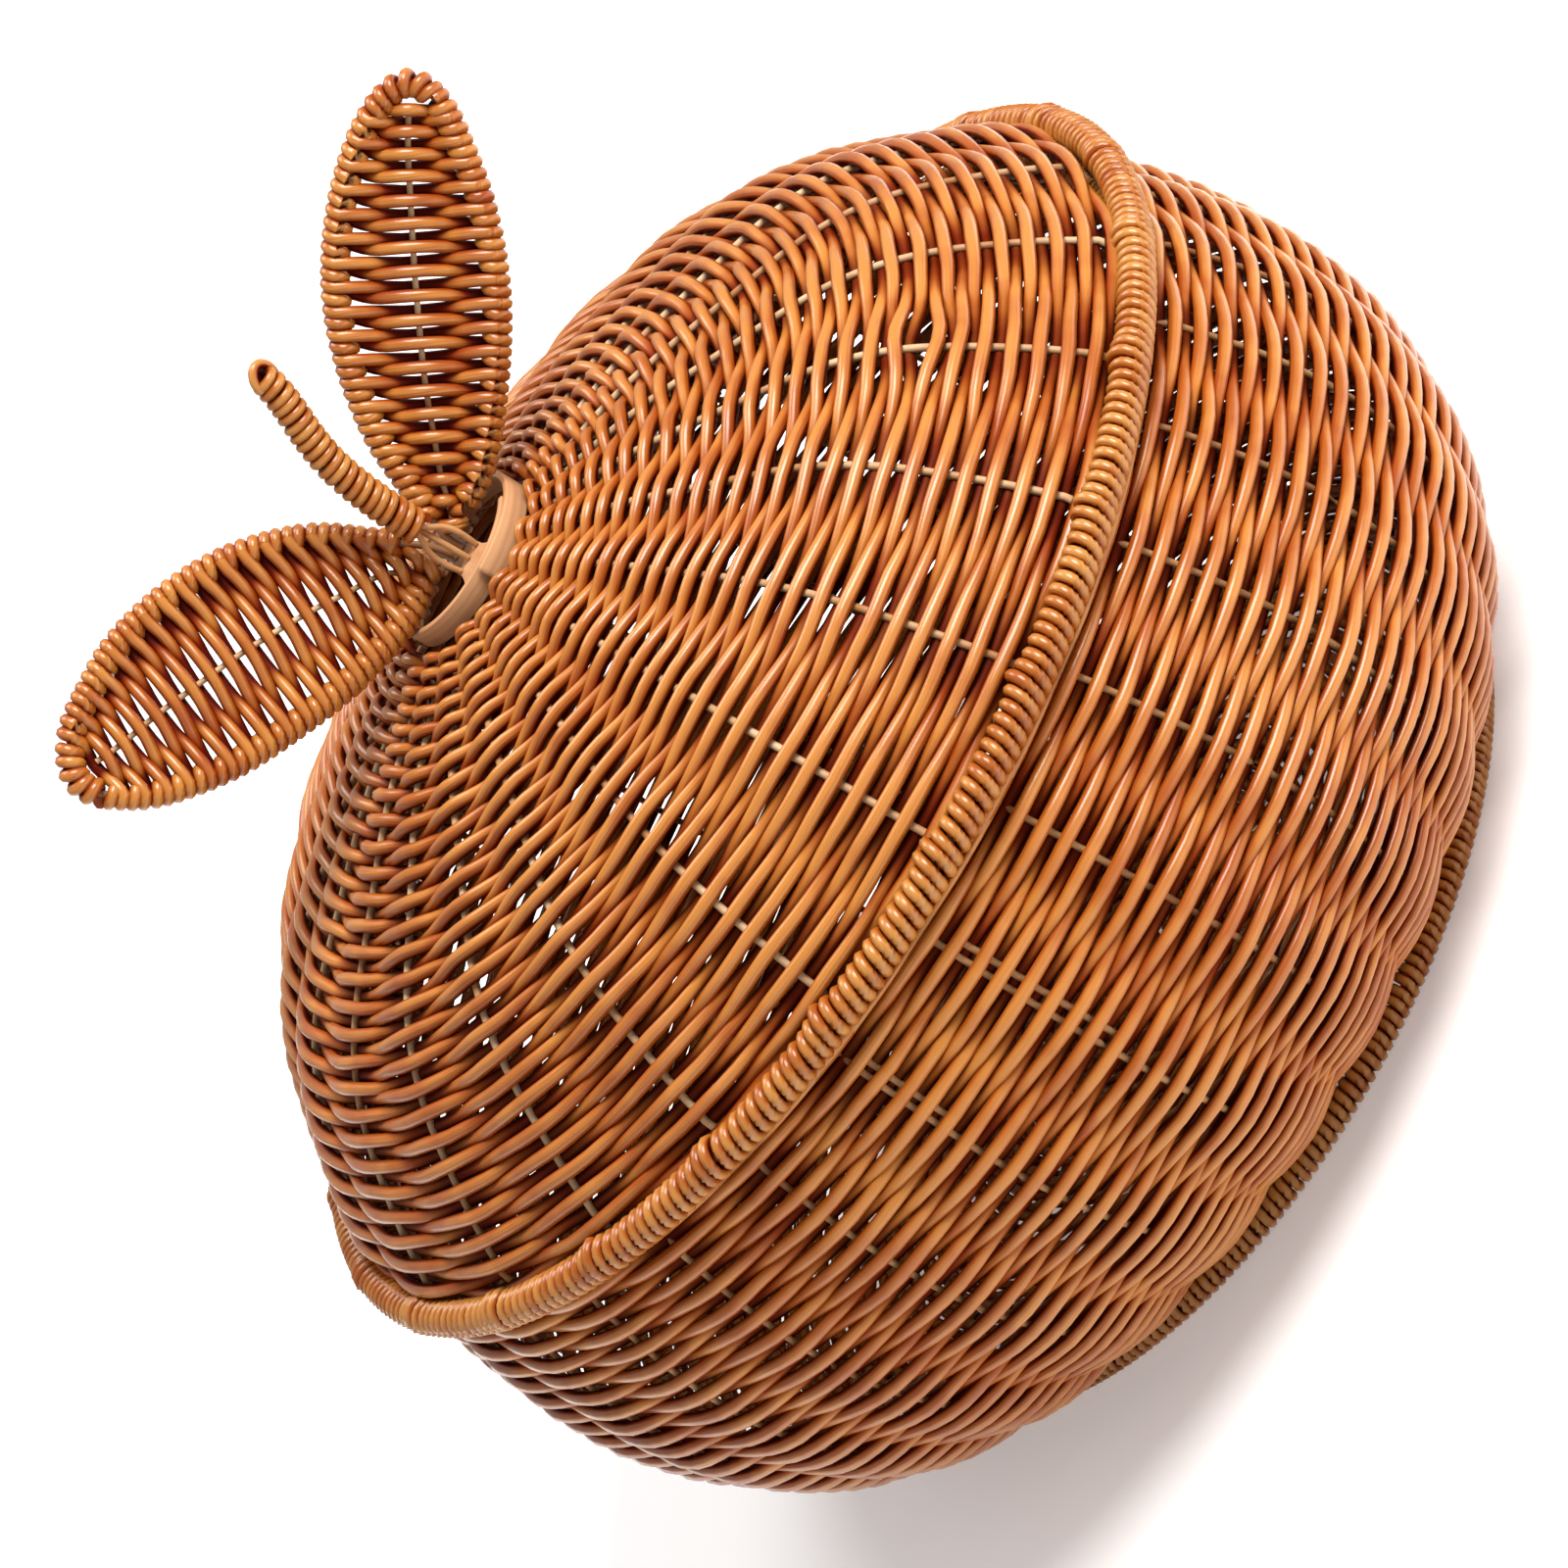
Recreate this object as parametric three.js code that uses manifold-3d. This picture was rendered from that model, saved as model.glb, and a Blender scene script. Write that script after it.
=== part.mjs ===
// A round lidded storage basket of woven strand: a bowl on a wrapped foot, and a domed lid with
// a flat ring at its top, two woven leaves and a wound stem.
// Millimetres, +Z up. The origin is the middle of the foot's underside, and -Y is the front.
import * as THREE from 'three';
import { mergeVertices } from 'three/addons/utils/BufferGeometryUtils.js';
import Module from 'manifold-3d';

const wasm = await Module();
wasm.setup();

// Space left between pieces that touch on the real basket
const clearance = 0.35;

// Bowl: a skin of woven strand outside its stakes
const bulgeRadius = 153;
const footRadius = 105.4;
const wallRimInset = 1.3;
const seamGap = 2.7;
const weaveThickness = 2.4;
const hollowDepth = 2.15;
const stakeThickness = 1.6;
const bowlStakeCount = 29;
const bowlStakeTurn = 4.6;
const floorCrown = 3;
const floorStakeReach = 12;

// Heights down the wall as shares of the wall's height, and how far the radius has gone from
// the rim to the bulge, and then how much of the bulge is left on the way down to the foot
const wallDropShares = [0, 0.1255, 0.302, 0.489, 0.656, 0.8016, 0.9157, 1];
const wallSwellShares = [0, 0.52, 0.976];
const wallTuckShares = [0.991, 0.893, 0.714, 0.45, 0];

// How deep the hollows between the stakes are at the same heights, as shares of their depth
const wallHollowShares = [0, 1, 1, 1, 1, 1, 1, 0];

// Hoops: a rod inside a wrap of strand
const rimRadius = 146;
const rimHeight = 127.8;
const rimRodThickness = 2.8;
const rimWrapThickness = 2.55;
const bowlRodThickness = 2;
const bowlWrapThickness = 1.85;
const footRodThickness = 2.4;
const footWrapThickness = 1.95;
const wrapEndGap = 1.2;
const seatAngle = 33;
const hoopSides = 36;
const rodSides = 5;
const boreSides = 4;

// Lid: the same weave on its own stakes, from the rim hoop up to the top ring
const lidRise = 63.4;
const lidRimInset = 1.8;
const lidStakeCount = 23;
const lidStakeTurn = -0.5;
const lidInwardShares = [0, 0.044, 0.115, 0.216, 0.349, 0.521, 0.754, 1];
const lidRiseShares = [0, 0.128, 0.302, 0.507, 0.675, 0.794, 0.932, 1];
const lidHollowShares = [1, 1, 1, 1, 1, 1, 1, 1];

// Top ring: one flat strip bent round and lapped over itself
const ringRadius = 21;
const ringDepth = 5.6;
const ringStand = 4;
const stripThickness = 1.5;
const stripLapGap = 0.45;
const ringLapAngle = 60;
const barWidth = 11.6;
const barThickness = 1.5;
const barDrop = 0.6;
const barShift = 1.2;

// Stem: three wires from the bar, wound with strand
const wireThickness = 1.7;
const stemBareHeight = 12.7;
const stemHeight = 46.4;
const stemLean = 11.7;
const stemShift = 1.2;
const stemWireSpread = 3;
const stemStrandThickness = 1.75;
const stemLoops = 20;
const knotRadius = 3.5;
const stemRiseShares = [0, 0.22, 0.53, 0.71, 0.87, 1];
const stemSideShares = [0, 0.06, 0.27, 0.55, 0.84, 1];

// Leaves: a bent wire frame and a rib inside a woven leaf. Along each leaf, its half width and
// how far its middle line bows up are given at the same stations.
const leafThickness = 6.2;
const leafLean = 20;
const leafRootRise = 3.2;
const leafSetForward = 3;
const ribTipGap = 8;
const leafStationShares = [0, 0.05, 0.1, 0.18, 0.28, 0.4, 0.52, 0.64, 0.75, 0.84, 0.91, 0.96, 1];
const leafDepthShares = [0.6, 0.9, 1, 1, 1, 1, 1, 1, 1, 1, 1, 0.9, 0.4];
const leftLeafLength = 92.5;
const leftLeafWidth = 44.2;
const leftLeafBow = 7.6;
const leftLeafShift = 4.2;
const rightLeafLength = 99.2;
const rightLeafWidth = 40.2;
const rightLeafBow = 5.2;
const rightLeafShift = 3.8;
const leaves = [
  {
    name: 'left',
    side: -1,
    length: leftLeafLength,
    width: leftLeafWidth,
    bow: leftLeafBow,
    angle: 27.2,
    rootShift: leftLeafShift,
    halfShares: [0.06, 0.265, 0.51, 0.72, 0.875, 0.975, 1, 0.97, 0.865, 0.71, 0.53, 0.365, 0.135],
    bowShares: [-0.16, 0.085, 0.49, 0.7, 0.86, 0.97, 1, 0.955, 0.89, 0.78, 0.77, 0.67, 0.46],
  },
  {
    name: 'right',
    side: 1,
    length: rightLeafLength,
    width: rightLeafWidth,
    bow: rightLeafBow,
    angle: 35,
    rootShift: rightLeafShift,
    halfShares: [0.09, 0.315, 0.49, 0.68, 0.835, 0.955, 1, 0.955, 0.84, 0.685, 0.515, 0.385, 0.205],
    bowShares: [-0.1, 0.22, 0.42, 0.61, 0.81, 0.94, 1, 1, 0.97, 0.92, 0.81, 0.71, 0.64],
  },
];
const framedStations = [2, 11];
const frameSteps = 27;
const ribSteps = 10;

const radians = THREE.MathUtils.degToRad;
const rimOuter = rimRodThickness / 2 + clearance + rimWrapThickness;
const bowlHoopOuter = bowlRodThickness / 2 + clearance + bowlWrapThickness;
const footOuter = footRodThickness / 2 + clearance + footWrapThickness;
const footFlat = footOuter * Math.cos(Math.PI / 8);

// Points in plan are [outward, up]; an angle of 0 is the front and 90 is +X
const around = (radius, angle, z) =>
  new THREE.Vector3(radius * Math.sin(angle), -radius * Math.cos(angle), z);

function solidVolume(geometry) {
  const index = geometry.index.array;
  const place = geometry.attributes.position;
  const [a, b, c] = [new THREE.Vector3(), new THREE.Vector3(), new THREE.Vector3()];
  let sum = 0;
  for (let i = 0; i < index.length; i += 3) {
    a.fromBufferAttribute(place, index[i]);
    b.fromBufferAttribute(place, index[i + 1]);
    c.fromBufferAttribute(place, index[i + 2]);
    sum += a.dot(b.cross(c));
  }
  return sum / 6;
}

// Merges a geometry's shared vertices and turns its faces outwards
function closed(geometry) {
  geometry.deleteAttribute('normal');
  geometry.deleteAttribute('uv');
  const merged = mergeVertices(geometry, clearance / 1000);
  const index = [];
  for (let i = 0; i < merged.index.count; i += 3) {
    const [a, b, c] = [0, 1, 2].map((k) => merged.index.getX(i + k));
    if (a !== b && b !== c && c !== a) index.push(a, b, c);
  }
  merged.setIndex(index);
  if (solidVolume(merged) < 0) {
    for (let i = 0; i < index.length; i += 3) {
      [index[i], index[i + 1]] = [index[i + 1], index[i]];
    }
    merged.setIndex(index);
  }
  return merged;
}

function toSolid(geometry) {
  return new wasm.Manifold(new wasm.Mesh({
    numProp: 3,
    vertProperties: new Float32Array(geometry.attributes.position.array),
    triVerts: new Uint32Array(geometry.index.array),
  }));
}

function fromSolid(solid) {
  const mesh = solid.getMesh();
  const geometry = new THREE.BufferGeometry();
  geometry.setAttribute('position', new THREE.Float32BufferAttribute(mesh.vertProperties, 3));
  geometry.setIndex([...mesh.triVerts]);
  return geometry;
}

// A path through given points, whose tube has one ring of vertices at each of them
class StationPath extends THREE.Curve {
  constructor(points) {
    super();
    this.points = points;
  }

  getPoint(t, target = new THREE.Vector3()) {
    const last = this.points.length - 1;
    const place = THREE.MathUtils.clamp(t, 0, 1) * last;
    const i = Math.min(Math.floor(place), last - 1);
    return target.lerpVectors(this.points[i], this.points[i + 1], place - i);
  }

  getUtoTmapping(u) {
    return u;
  }
}

function polygon(radius, sides, turn = 0) {
  return Array.from({ length: sides }, (_, i) => {
    const angle = turn + (2 * Math.PI * i) / sides;
    return new THREE.Vector2(radius * Math.cos(angle), radius * Math.sin(angle));
  });
}

function tube(points, radius, sides, boreRadius = 0) {
  const section = new THREE.Shape(polygon(radius, sides, Math.PI / sides));
  if (boreRadius > 0) section.holes.push(new THREE.Path(polygon(boreRadius / Math.cos(Math.PI / boreSides), boreSides)));
  return closed(new THREE.ExtrudeGeometry(section, {
    steps: points.length - 1,
    extrudePath: new StationPath(points),
  }));
}

// A closed outline of [outward, up] points, turned about the basket's axis
function turned(outline, sides, turn) {
  const profile = [...outline, outline[0]].map(([r, z]) => new THREE.Vector2(r, z));
  return closed(new THREE.LatheGeometry(profile, sides, turn).rotateX(Math.PI / 2));
}

// The outline moved to its inner side by a depth at each point, square to each stretch
function sunk(points, depths) {
  const sideways = points.slice(1).map(([r, z], i) => {
    const [dr, dz] = [r - points[i][0], z - points[i][1]];
    const length = Math.hypot(dr, dz);
    return [dz / length, -dr / length];
  });
  return points.map(([r, z], i) => {
    const before = sideways[Math.max(i - 1, 0)];
    const after = sideways[Math.min(i, sideways.length - 1)];
    const reach = depths[i] / (1 + before[0] * after[0] + before[1] * after[1]);
    return [r + (before[0] + after[0]) * reach, z + (before[1] + after[1]) * reach];
  });
}

const inset = (points, distance) => sunk(points, points.map(() => distance));

// A woven skin over an outline. It stands out at each stake, where the strand passes over it,
// and is hollow between two stakes. Its outer face has four columns of points to a stake and
// its inner face two.
const outerFallShares = [0, 1 - Math.SQRT1_2, 1, 1 - Math.SQRT1_2];
const innerFallShares = [0, 1];

function skin(outline, hollowShares, stakes, turn) {
  const face = (fallShares, depth) => {
    const columns = stakes * fallShares.length;
    return Array.from({ length: columns }, (_, i) => {
      const angle = turn + (2 * Math.PI * i) / columns;
      const fall = hollowDepth * fallShares[i % fallShares.length];
      return sunk(outline, hollowShares.map((share) => depth + fall * share))
        .map(([r, z]) => around(r, angle, z));
    });
  };
  const [outer, inner] = [face(outerFallShares, 0), face(innerFallShares, weaveThickness)];
  const rows = outline.length;
  const outside = (column, row) => (column % outer.length) * rows + row;
  const inside = (column, row) => (outer.length + (column % inner.length)) * rows + row;
  const index = [];
  for (let row = 0; row < rows - 1; row += 1) {
    for (let i = 0; i < outer.length; i += 1) {
      const [a, b] = [outside(i, row), outside(i + 1, row)];
      index.push(a, b, b + 1, a, b + 1, a + 1);
    }
    for (let i = 0; i < inner.length; i += 1) {
      const [a, b] = [inside(i, row), inside(i + 1, row)];
      index.push(b + 1, b, a, a + 1, b + 1, a);
    }
  }
  for (let i = 0; i < inner.length; i += 1) {
    for (const row of [0, rows - 1]) {
      const [a, b] = [inside(i, row), inside(i + 1, row)];
      const [c, d, e] = [0, 1, 2].map((step) => outside(2 * i + step, row));
      const edge = [a, d, c, a, b, d, b, e, d];
      index.push(...(row === 0 ? edge : edge.reverse()));
    }
  }
  const geometry = new THREE.BufferGeometry().setFromPoints([...outer, ...inner].flat());
  geometry.setIndex(index);
  return closed(geometry);
}

const basket = new THREE.Group();

function add(name, geometry, finish) {
  const mesh = new THREE.Mesh(geometry, finish);
  mesh.name = name;
  basket.add(mesh);
}

const finish = (color, roughness, metalness) =>
  new THREE.MeshStandardMaterial({ color, roughness, metalness });
const wallStrand = finish('#c9772e', 0.45, 0);
const leafStrand = finish('#c56a2a', 0.4, 0);
const wrapStrand = finish('#cf8136', 0.4, 0);
const stakeWire = finish('#e3c9a0', 0.5, 0);
const hoopRod = finish('#8a6a48', 0.5, 0.6);
const flatStrip = finish('#d3a878', 0.6, 0);

// A wrapped hoop: the rod, and the wrap round it, whose ends meet at the back
function addHoop(name, radius, z, rodThickness, outer) {
  const rod = polygon(rodThickness / 2, boreSides, Math.PI).map(({ x, y }) => [radius + y, z + x]);
  add(`${name}_rod`, turned(rod, hoopSides, Math.PI), hoopRod);
  const corners = Array.from({ length: hoopSides + 1 }, (_, i) =>
    around(radius, Math.PI + (2 * Math.PI * i) / hoopSides, z));
  const side = corners[0].distanceTo(corners[1]);
  const endShare = wrapEndGap / 2 / side;
  const points = [
    corners[0].clone().lerp(corners[1], endShare),
    ...corners.slice(1, -1),
    corners[hoopSides].clone().lerp(corners[hoopSides - 1], endShare),
  ];
  add(`${name}_wrap`, tube(points, outer, 8, rodThickness / 2 + clearance), wrapStrand);
}

// Wire stakes at equal turns along one path of [outward, up] points, whose inner ends are
// joined by a small ring of the same wire
function addStakes(name, path, count, turn) {
  const [ringR, ringZ] = path.at(-1);
  const section = polygon(stakeThickness / 2, 4).map(({ x, y }) => [ringR + x, ringZ + y]);
  let frame = toSolid(turned(section, count, turn));
  for (let i = 0; i < count; i += 1) {
    const angle = turn + (2 * Math.PI * i) / count;
    const stake = tube(path.map(([r, z]) => around(r, angle, z)), stakeThickness / 2, 4);
    frame = frame.add(toSolid(stake));
  }
  add(name, fromSolid(frame), stakeWire);
}

const stakeDepth = weaveThickness + clearance + stakeThickness / 2;

// Bowl
const seat = rimOuter + bowlHoopOuter + clearance;
const bowlHoopRadius = rimRadius - seat * Math.cos(radians(seatAngle));
const bowlHoopHeight = rimHeight - seat * Math.sin(radians(seatAngle));
const wallTop = rimHeight - rimOuter - seamGap;
const wallTopRadius = rimRadius - wallRimInset;
const wallFootRadius = footRadius + footOuter / 2;
const wallFoot = 2 * footFlat + clearance;
const wallOutline = wallDropShares.map((drop, i) => {
  const z = wallTop + (wallFoot - wallTop) * drop;
  const swell = wallSwellShares[i];
  if (swell !== undefined) return [wallTopRadius + (bulgeRadius - wallTopRadius) * swell, z];
  const tuck = wallTuckShares[i - wallSwellShares.length];
  return [wallFootRadius + (bulgeRadius - wallFootRadius) * tuck, z];
});
const bowlTurn = radians(bowlStakeTurn);
add('bowl_weave', skin(wallOutline, wallHollowShares, bowlStakeCount, bowlTurn), wallStrand);

const floorRadius = inset(wallOutline, weaveThickness).at(-1)[0] - clearance;
const floorUnder = (r) => wallFoot + floorCrown * (1 - (r / floorRadius) ** 2);
const floorRadii = [1, 0.55, 0].map((share) => floorRadius * share);
const floorOutline = [
  ...floorRadii.map((r) => [r, floorUnder(r)]),
  ...[...floorRadii].reverse().map((r) => [r, floorUnder(r) + weaveThickness]),
];
add('floor_weave', turned(floorOutline, bowlStakeCount, bowlTurn), wallStrand);

const stakeLine = inset(wallOutline, stakeDepth);
const underHoop = [bowlHoopRadius, bowlHoopHeight - bowlHoopOuter - clearance];
const overFloor = (r) => [r, floorUnder(r) + weaveThickness + clearance + stakeThickness / 2];
addStakes('bowl_stakes', [
  underHoop,
  ...stakeLine.slice(1, -1),
  overFloor(floorRadius - stakeThickness),
  overFloor(floorRadii[1]),
  overFloor(floorStakeReach),
], bowlStakeCount, bowlTurn);

addHoop('bowl_rim', bowlHoopRadius, bowlHoopHeight, bowlRodThickness, bowlHoopOuter);
addHoop('foot', footRadius, footFlat, footRodThickness, footOuter);

// Lid
const lidStart = rimHeight + rimOuter + clearance;
const lidStartRadius = rimRadius - lidRimInset;
const lidEndRadius = ringRadius + 2 * clearance;
const lidOutline = lidInwardShares.map((inward, i) => [
  lidStartRadius + (lidEndRadius - lidStartRadius) * inward,
  lidStart + lidRise * lidRiseShares[i],
]).reverse();
const lidTurn = radians(lidStakeTurn);
add('lid_weave', skin(lidOutline, lidHollowShares, lidStakeCount, lidTurn), wallStrand);
const hoopInside = rimRadius * Math.cos(Math.PI / hoopSides) - rimOuter;
const besideHoop = [hoopInside - clearance - stakeThickness / 2, rimHeight];

// The stakes end lower than the hollows, where their small ring runs under the skin
const lidStakeDepths = lidOutline.map((_, i) => stakeDepth + (i === 0 ? hollowDepth : 0));
const lidStakeLine = sunk(lidOutline, lidStakeDepths).reverse();
addStakes('lid_stakes', [besideHoop, ...lidStakeLine], lidStakeCount, lidTurn);
addHoop('lid_rim', rimRadius, rimHeight, rimRodThickness, rimOuter);

// Top ring: the strip runs inwards, round to the right, from its outer end at the front
const ringTop = lidStart + lidRise + ringStand;
const lapPitch = stripThickness + stripLapGap;
const stripTurns = 1 + ringLapAngle / 360;
const stripOuter = (share) => ringRadius - lapPitch * stripTurns * share;
const stripSteps = 40;
const stripShares = Array.from({ length: stripSteps + 1 }, (_, i) => i / stripSteps);
const stripPoint = (share, deeper) => {
  const angle = 2 * Math.PI * stripTurns * share;
  const radius = stripOuter(share) - deeper;
  return new THREE.Vector2(radius * Math.sin(angle), -radius * Math.cos(angle));
};
const stripShape = new THREE.Shape([
  ...stripShares.map((share) => stripPoint(share, 0)),
  ...[...stripShares].reverse().map((share) => stripPoint(share, stripThickness)),
]);
const ringGeometry = new THREE.ExtrudeGeometry(stripShape, {
  depth: ringDepth,
  bevelEnabled: false,
});
add('lid_top_ring', closed(ringGeometry.translate(0, 0, ringTop - ringDepth)), flatStrip);

// Cross bar: its two ends follow the ring's inner face, and at the front that is the lapped end
const barTop = ringTop - barDrop;
const insideRing = (angle) => {
  const turns = angle / (2 * Math.PI) + (angle <= radians(ringLapAngle) ? 1 : 0);
  return stripOuter(turns / stripTurns) - stripThickness - clearance;
};
const barShares = [-1, -0.5, 0, 0.5, 1];
const barEnd = (facing) => barShares.map((across) => {
  const x = barShift + (across * barWidth) / 2;
  const angle = Math.atan2(x, facing * ringRadius);
  const radius = insideRing(angle < 0 ? angle + 2 * Math.PI : angle);
  return new THREE.Vector2(x, -facing * Math.sqrt(radius ** 2 - x ** 2));
});
const barGeometry = new THREE.ExtrudeGeometry(
  new THREE.Shape([...barEnd(1), ...barEnd(-1).reverse()]),
  { depth: barThickness, bevelEnabled: false },
);
add('lid_cross_bar', closed(barGeometry.translate(0, 0, barTop - barThickness)), flatStrip);
const wireFoot = barTop + clearance;

// Stem: the wires spread on the bar, close up into a bundle and run inside the winding
const bundleRadius = (wireThickness + clearance) / Math.sqrt(3);
const windingInner = bundleRadius + wireThickness / 2 + clearance;
const windingRadius = windingInner + stemStrandThickness / 2;
const stemOuter = windingRadius + stemStrandThickness / 2;
const leafFront = -leafSetForward - leafThickness / 2;
const stemDepth = leafFront - stemOuter - clearance / 2;
const stemStart = wireFoot + stemBareHeight;
const stemX = (side) => stemShift + stemLean * side;
const stemPath = new THREE.CatmullRomCurve3(stemRiseShares.map((rise, i) =>
  new THREE.Vector3(stemX(stemSideShares[i]), stemDepth, stemStart + stemHeight * rise)));

// A frame square to the stem at a share of its length
function stemFrame(share) {
  const along = stemPath.getTangentAt(share);
  const back = new THREE.Vector3(0, 1, 0);
  return { place: stemPath.getPointAt(share), along, back, side: back.clone().cross(along) };
}

function roundStem(share, radius, angle) {
  const { place, back, side } = stemFrame(share);
  return place.addScaledVector(side, radius * Math.cos(angle))
    .addScaledVector(back, radius * Math.sin(angle));
}

const stemWireShares = [0, 0.1, 0.25, 0.4, 0.55, 0.7, 0.85, 1];
const wireBendShare = 0.6;
['left', 'middle', 'right'].forEach((name, i) => {
  const angle = Math.PI / 2 + (2 * Math.PI * (1 - i)) / 3;
  const foot = new THREE.Vector3(
    stemShift + (i - 1) * stemWireSpread, stemDepth, wireFoot);
  const inBundle = stemWireShares.map((share) => roundStem(share, bundleRadius, angle));
  const bend = foot.clone().lerp(inBundle[0], wireBendShare);
  add(`${name}_stem_wire`, tube([foot, bend, ...inBundle], wireThickness / 2, rodSides), stakeWire);
});

const loopSteps = 12;
const windingPoints = Array.from({ length: stemLoops * loopSteps + 1 }, (_, i) =>
  roundStem(i / (stemLoops * loopSteps), windingRadius, (2 * Math.PI * i) / loopSteps));
add('stem_winding', tube(windingPoints, stemStrandThickness / 2, 5), wrapStrand);
let loopGap = Infinity;
windingPoints.forEach((point, i) => {
  for (let k = i + loopSteps / 2; k < windingPoints.length; k += 1) {
    loopGap = Math.min(loopGap, point.distanceTo(windingPoints[k]) - stemStrandThickness);
  }
});
console.log(`stem winding: least gap to itself ${loopGap.toFixed(2)} mm`);

// The strand's end, tied over the tip of the stem
const knot = new THREE.SphereGeometry(knotRadius, 10, 6);
const tip = stemFrame(1);
const knotRise = stemStrandThickness + clearance;
const knotPlace = tip.place.addScaledVector(tip.along, knotRise);
knot.scale(1, stemStrandThickness / knotRadius, 1);
knot.applyQuaternion(new THREE.Quaternion().setFromUnitVectors(new THREE.Vector3(0, 1, 0),
  tip.along));
add('stem_knot', closed(knot.translate(...knotPlace.toArray())), wrapStrand);

// A solid through rings of equally many points, with a flat end at each side
function loft(rings) {
  const count = rings[0].length;
  const middle = (ring) => ring.reduce((sum, point) => sum.add(point), new THREE.Vector3())
    .divideScalar(count);
  const points = [...rings.flat(), middle(rings[0]), middle(rings.at(-1))];
  const index = [];
  for (let i = 0; i < count; i += 1) {
    const next = (i + 1) % count;
    for (let ring = 0; ring < rings.length - 1; ring += 1) {
      const [here, there] = [ring * count, (ring + 1) * count];
      index.push(here + i, here + next, there + next, here + i, there + next, there + i);
    }
    const last = (rings.length - 1) * count;
    index.push(rings.length * count, next, i, rings.length * count + 1, last + i, last + next);
  }
  const geometry = new THREE.BufferGeometry().setFromPoints(points);
  geometry.setIndex(index);
  return closed(geometry);
}

// Half of a leaf's section from its edge to its middle and on to the other edge, as shares of
// the bead round the frame wire and of the leaf's depth
const beadStepShares = [0, 0.5, 2];
const beadDepthShares = [0, 0.87, 0.7];
const slimEdgeShare = 0.65;

// The wires of a leaf stand side by side on the bar, the nearest half a pitch from its middle
const footShare = 1.6;

function leafSection(half, depth) {
  const step = Math.min(leafThickness / 2, (half * slimEdgeShare) / beadStepShares.at(-1));
  const edge = beadStepShares.map((share, i) => [half - step * share, depth * beadDepthShares[i]]);
  const front = [...edge, [0, depth], ...edge.slice(1).reverse().map(([v, w]) => [-v, w])];
  return [...front, ...front.map(([v, w]) => [-v, -w])];
}

function addLeaf({ name, side, length, width, bow, angle, rootShift, halfShares, bowShares }) {
  const [rise, lean] = [radians(angle), radians(leafLean)];
  const along = new THREE.Vector3(side * Math.cos(rise), 0, Math.sin(rise));
  const across = new THREE.Vector3(
    -side * Math.sin(rise) * Math.cos(lean), Math.sin(lean), Math.cos(rise) * Math.cos(lean));
  const outward = along.clone().cross(across);
  const stations = leafStationShares.map((share, i) => ({
    u: length * share,
    mid: bow * bowShares[i],
    half: (width / 2) * halfShares[i],
    depth: (leafThickness / 2) * leafDepthShares[i],
  }));
  const root = new THREE.Vector3(
    barShift + side * rootShift, -leafSetForward, barTop + leafRootRise);
  const place = (u, v, w = 0) => root.clone().addScaledVector(along, u)
    .addScaledVector(across, v).addScaledVector(outward, w);
  const wirePitch = wireThickness + clearance;
  const foot = (shift, height) => new THREE.Vector3(
    barShift + side * wirePitch * (shift + footShare), -leafSetForward, wireFoot + height);

  // Both wires leave the bar straight up
  const bead = leafThickness / 2;
  const framed = stations.slice(...framedStations);
  const frameEdge = (sign) => framed.map(({ u, mid, half }) => place(u, mid + sign * (half - bead)));
  const frameCurve = new THREE.CatmullRomCurve3([
    foot(1, wireThickness), ...frameEdge(-1), place(length - bead, stations.at(-1).mid),
    ...frameEdge(1).reverse(), foot(-1, wireThickness),
  ]);
  const framePoints = [foot(1, 0), ...frameCurve.getSpacedPoints(frameSteps), foot(-1, 0)];
  const ribbed = stations.filter(({ u }) => u < length - ribTipGap);
  const ribCurve = new THREE.CatmullRomCurve3([
    foot(0, wireThickness), ...ribbed.map(({ u, mid }) => place(u, mid)),
  ]);
  const ribPoints = [foot(0, 0), ...ribCurve.getSpacedPoints(ribSteps)];
  add(`${name}_leaf_frame`, tube(framePoints, wireThickness / 2, rodSides), stakeWire);
  add(`${name}_leaf_rib`, tube(ribPoints, wireThickness / 2, rodSides), stakeWire);

  const whole = loft(stations.map(({ u, mid, half, depth }) =>
    leafSection(half, depth).map(([v, w]) => place(u, mid + v, w))));
  const channel = wireThickness / 2 + clearance;
  const ribBore = [...ribPoints, place(ribbed.at(-1).u + clearance, ribbed.at(-1).mid)];
  const weave = toSolid(whole)
    .subtract(toSolid(tube(framePoints, channel, rodSides)))
    .subtract(toSolid(tube(ribBore, channel, rodSides)));
  add(`${name}_leaf_weave`, fromSolid(weave), leafStrand);
}

leaves.forEach(addLeaf);

export default basket;
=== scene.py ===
# A round storage basket of woven strand: a bowl on a wrapped foot, and a domed lid with a flat
# ring, a wound stem and two woven leaves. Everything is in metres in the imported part's frame.
import math
import bpy
import numpy as np
from mathutils import Matrix, Vector


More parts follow.
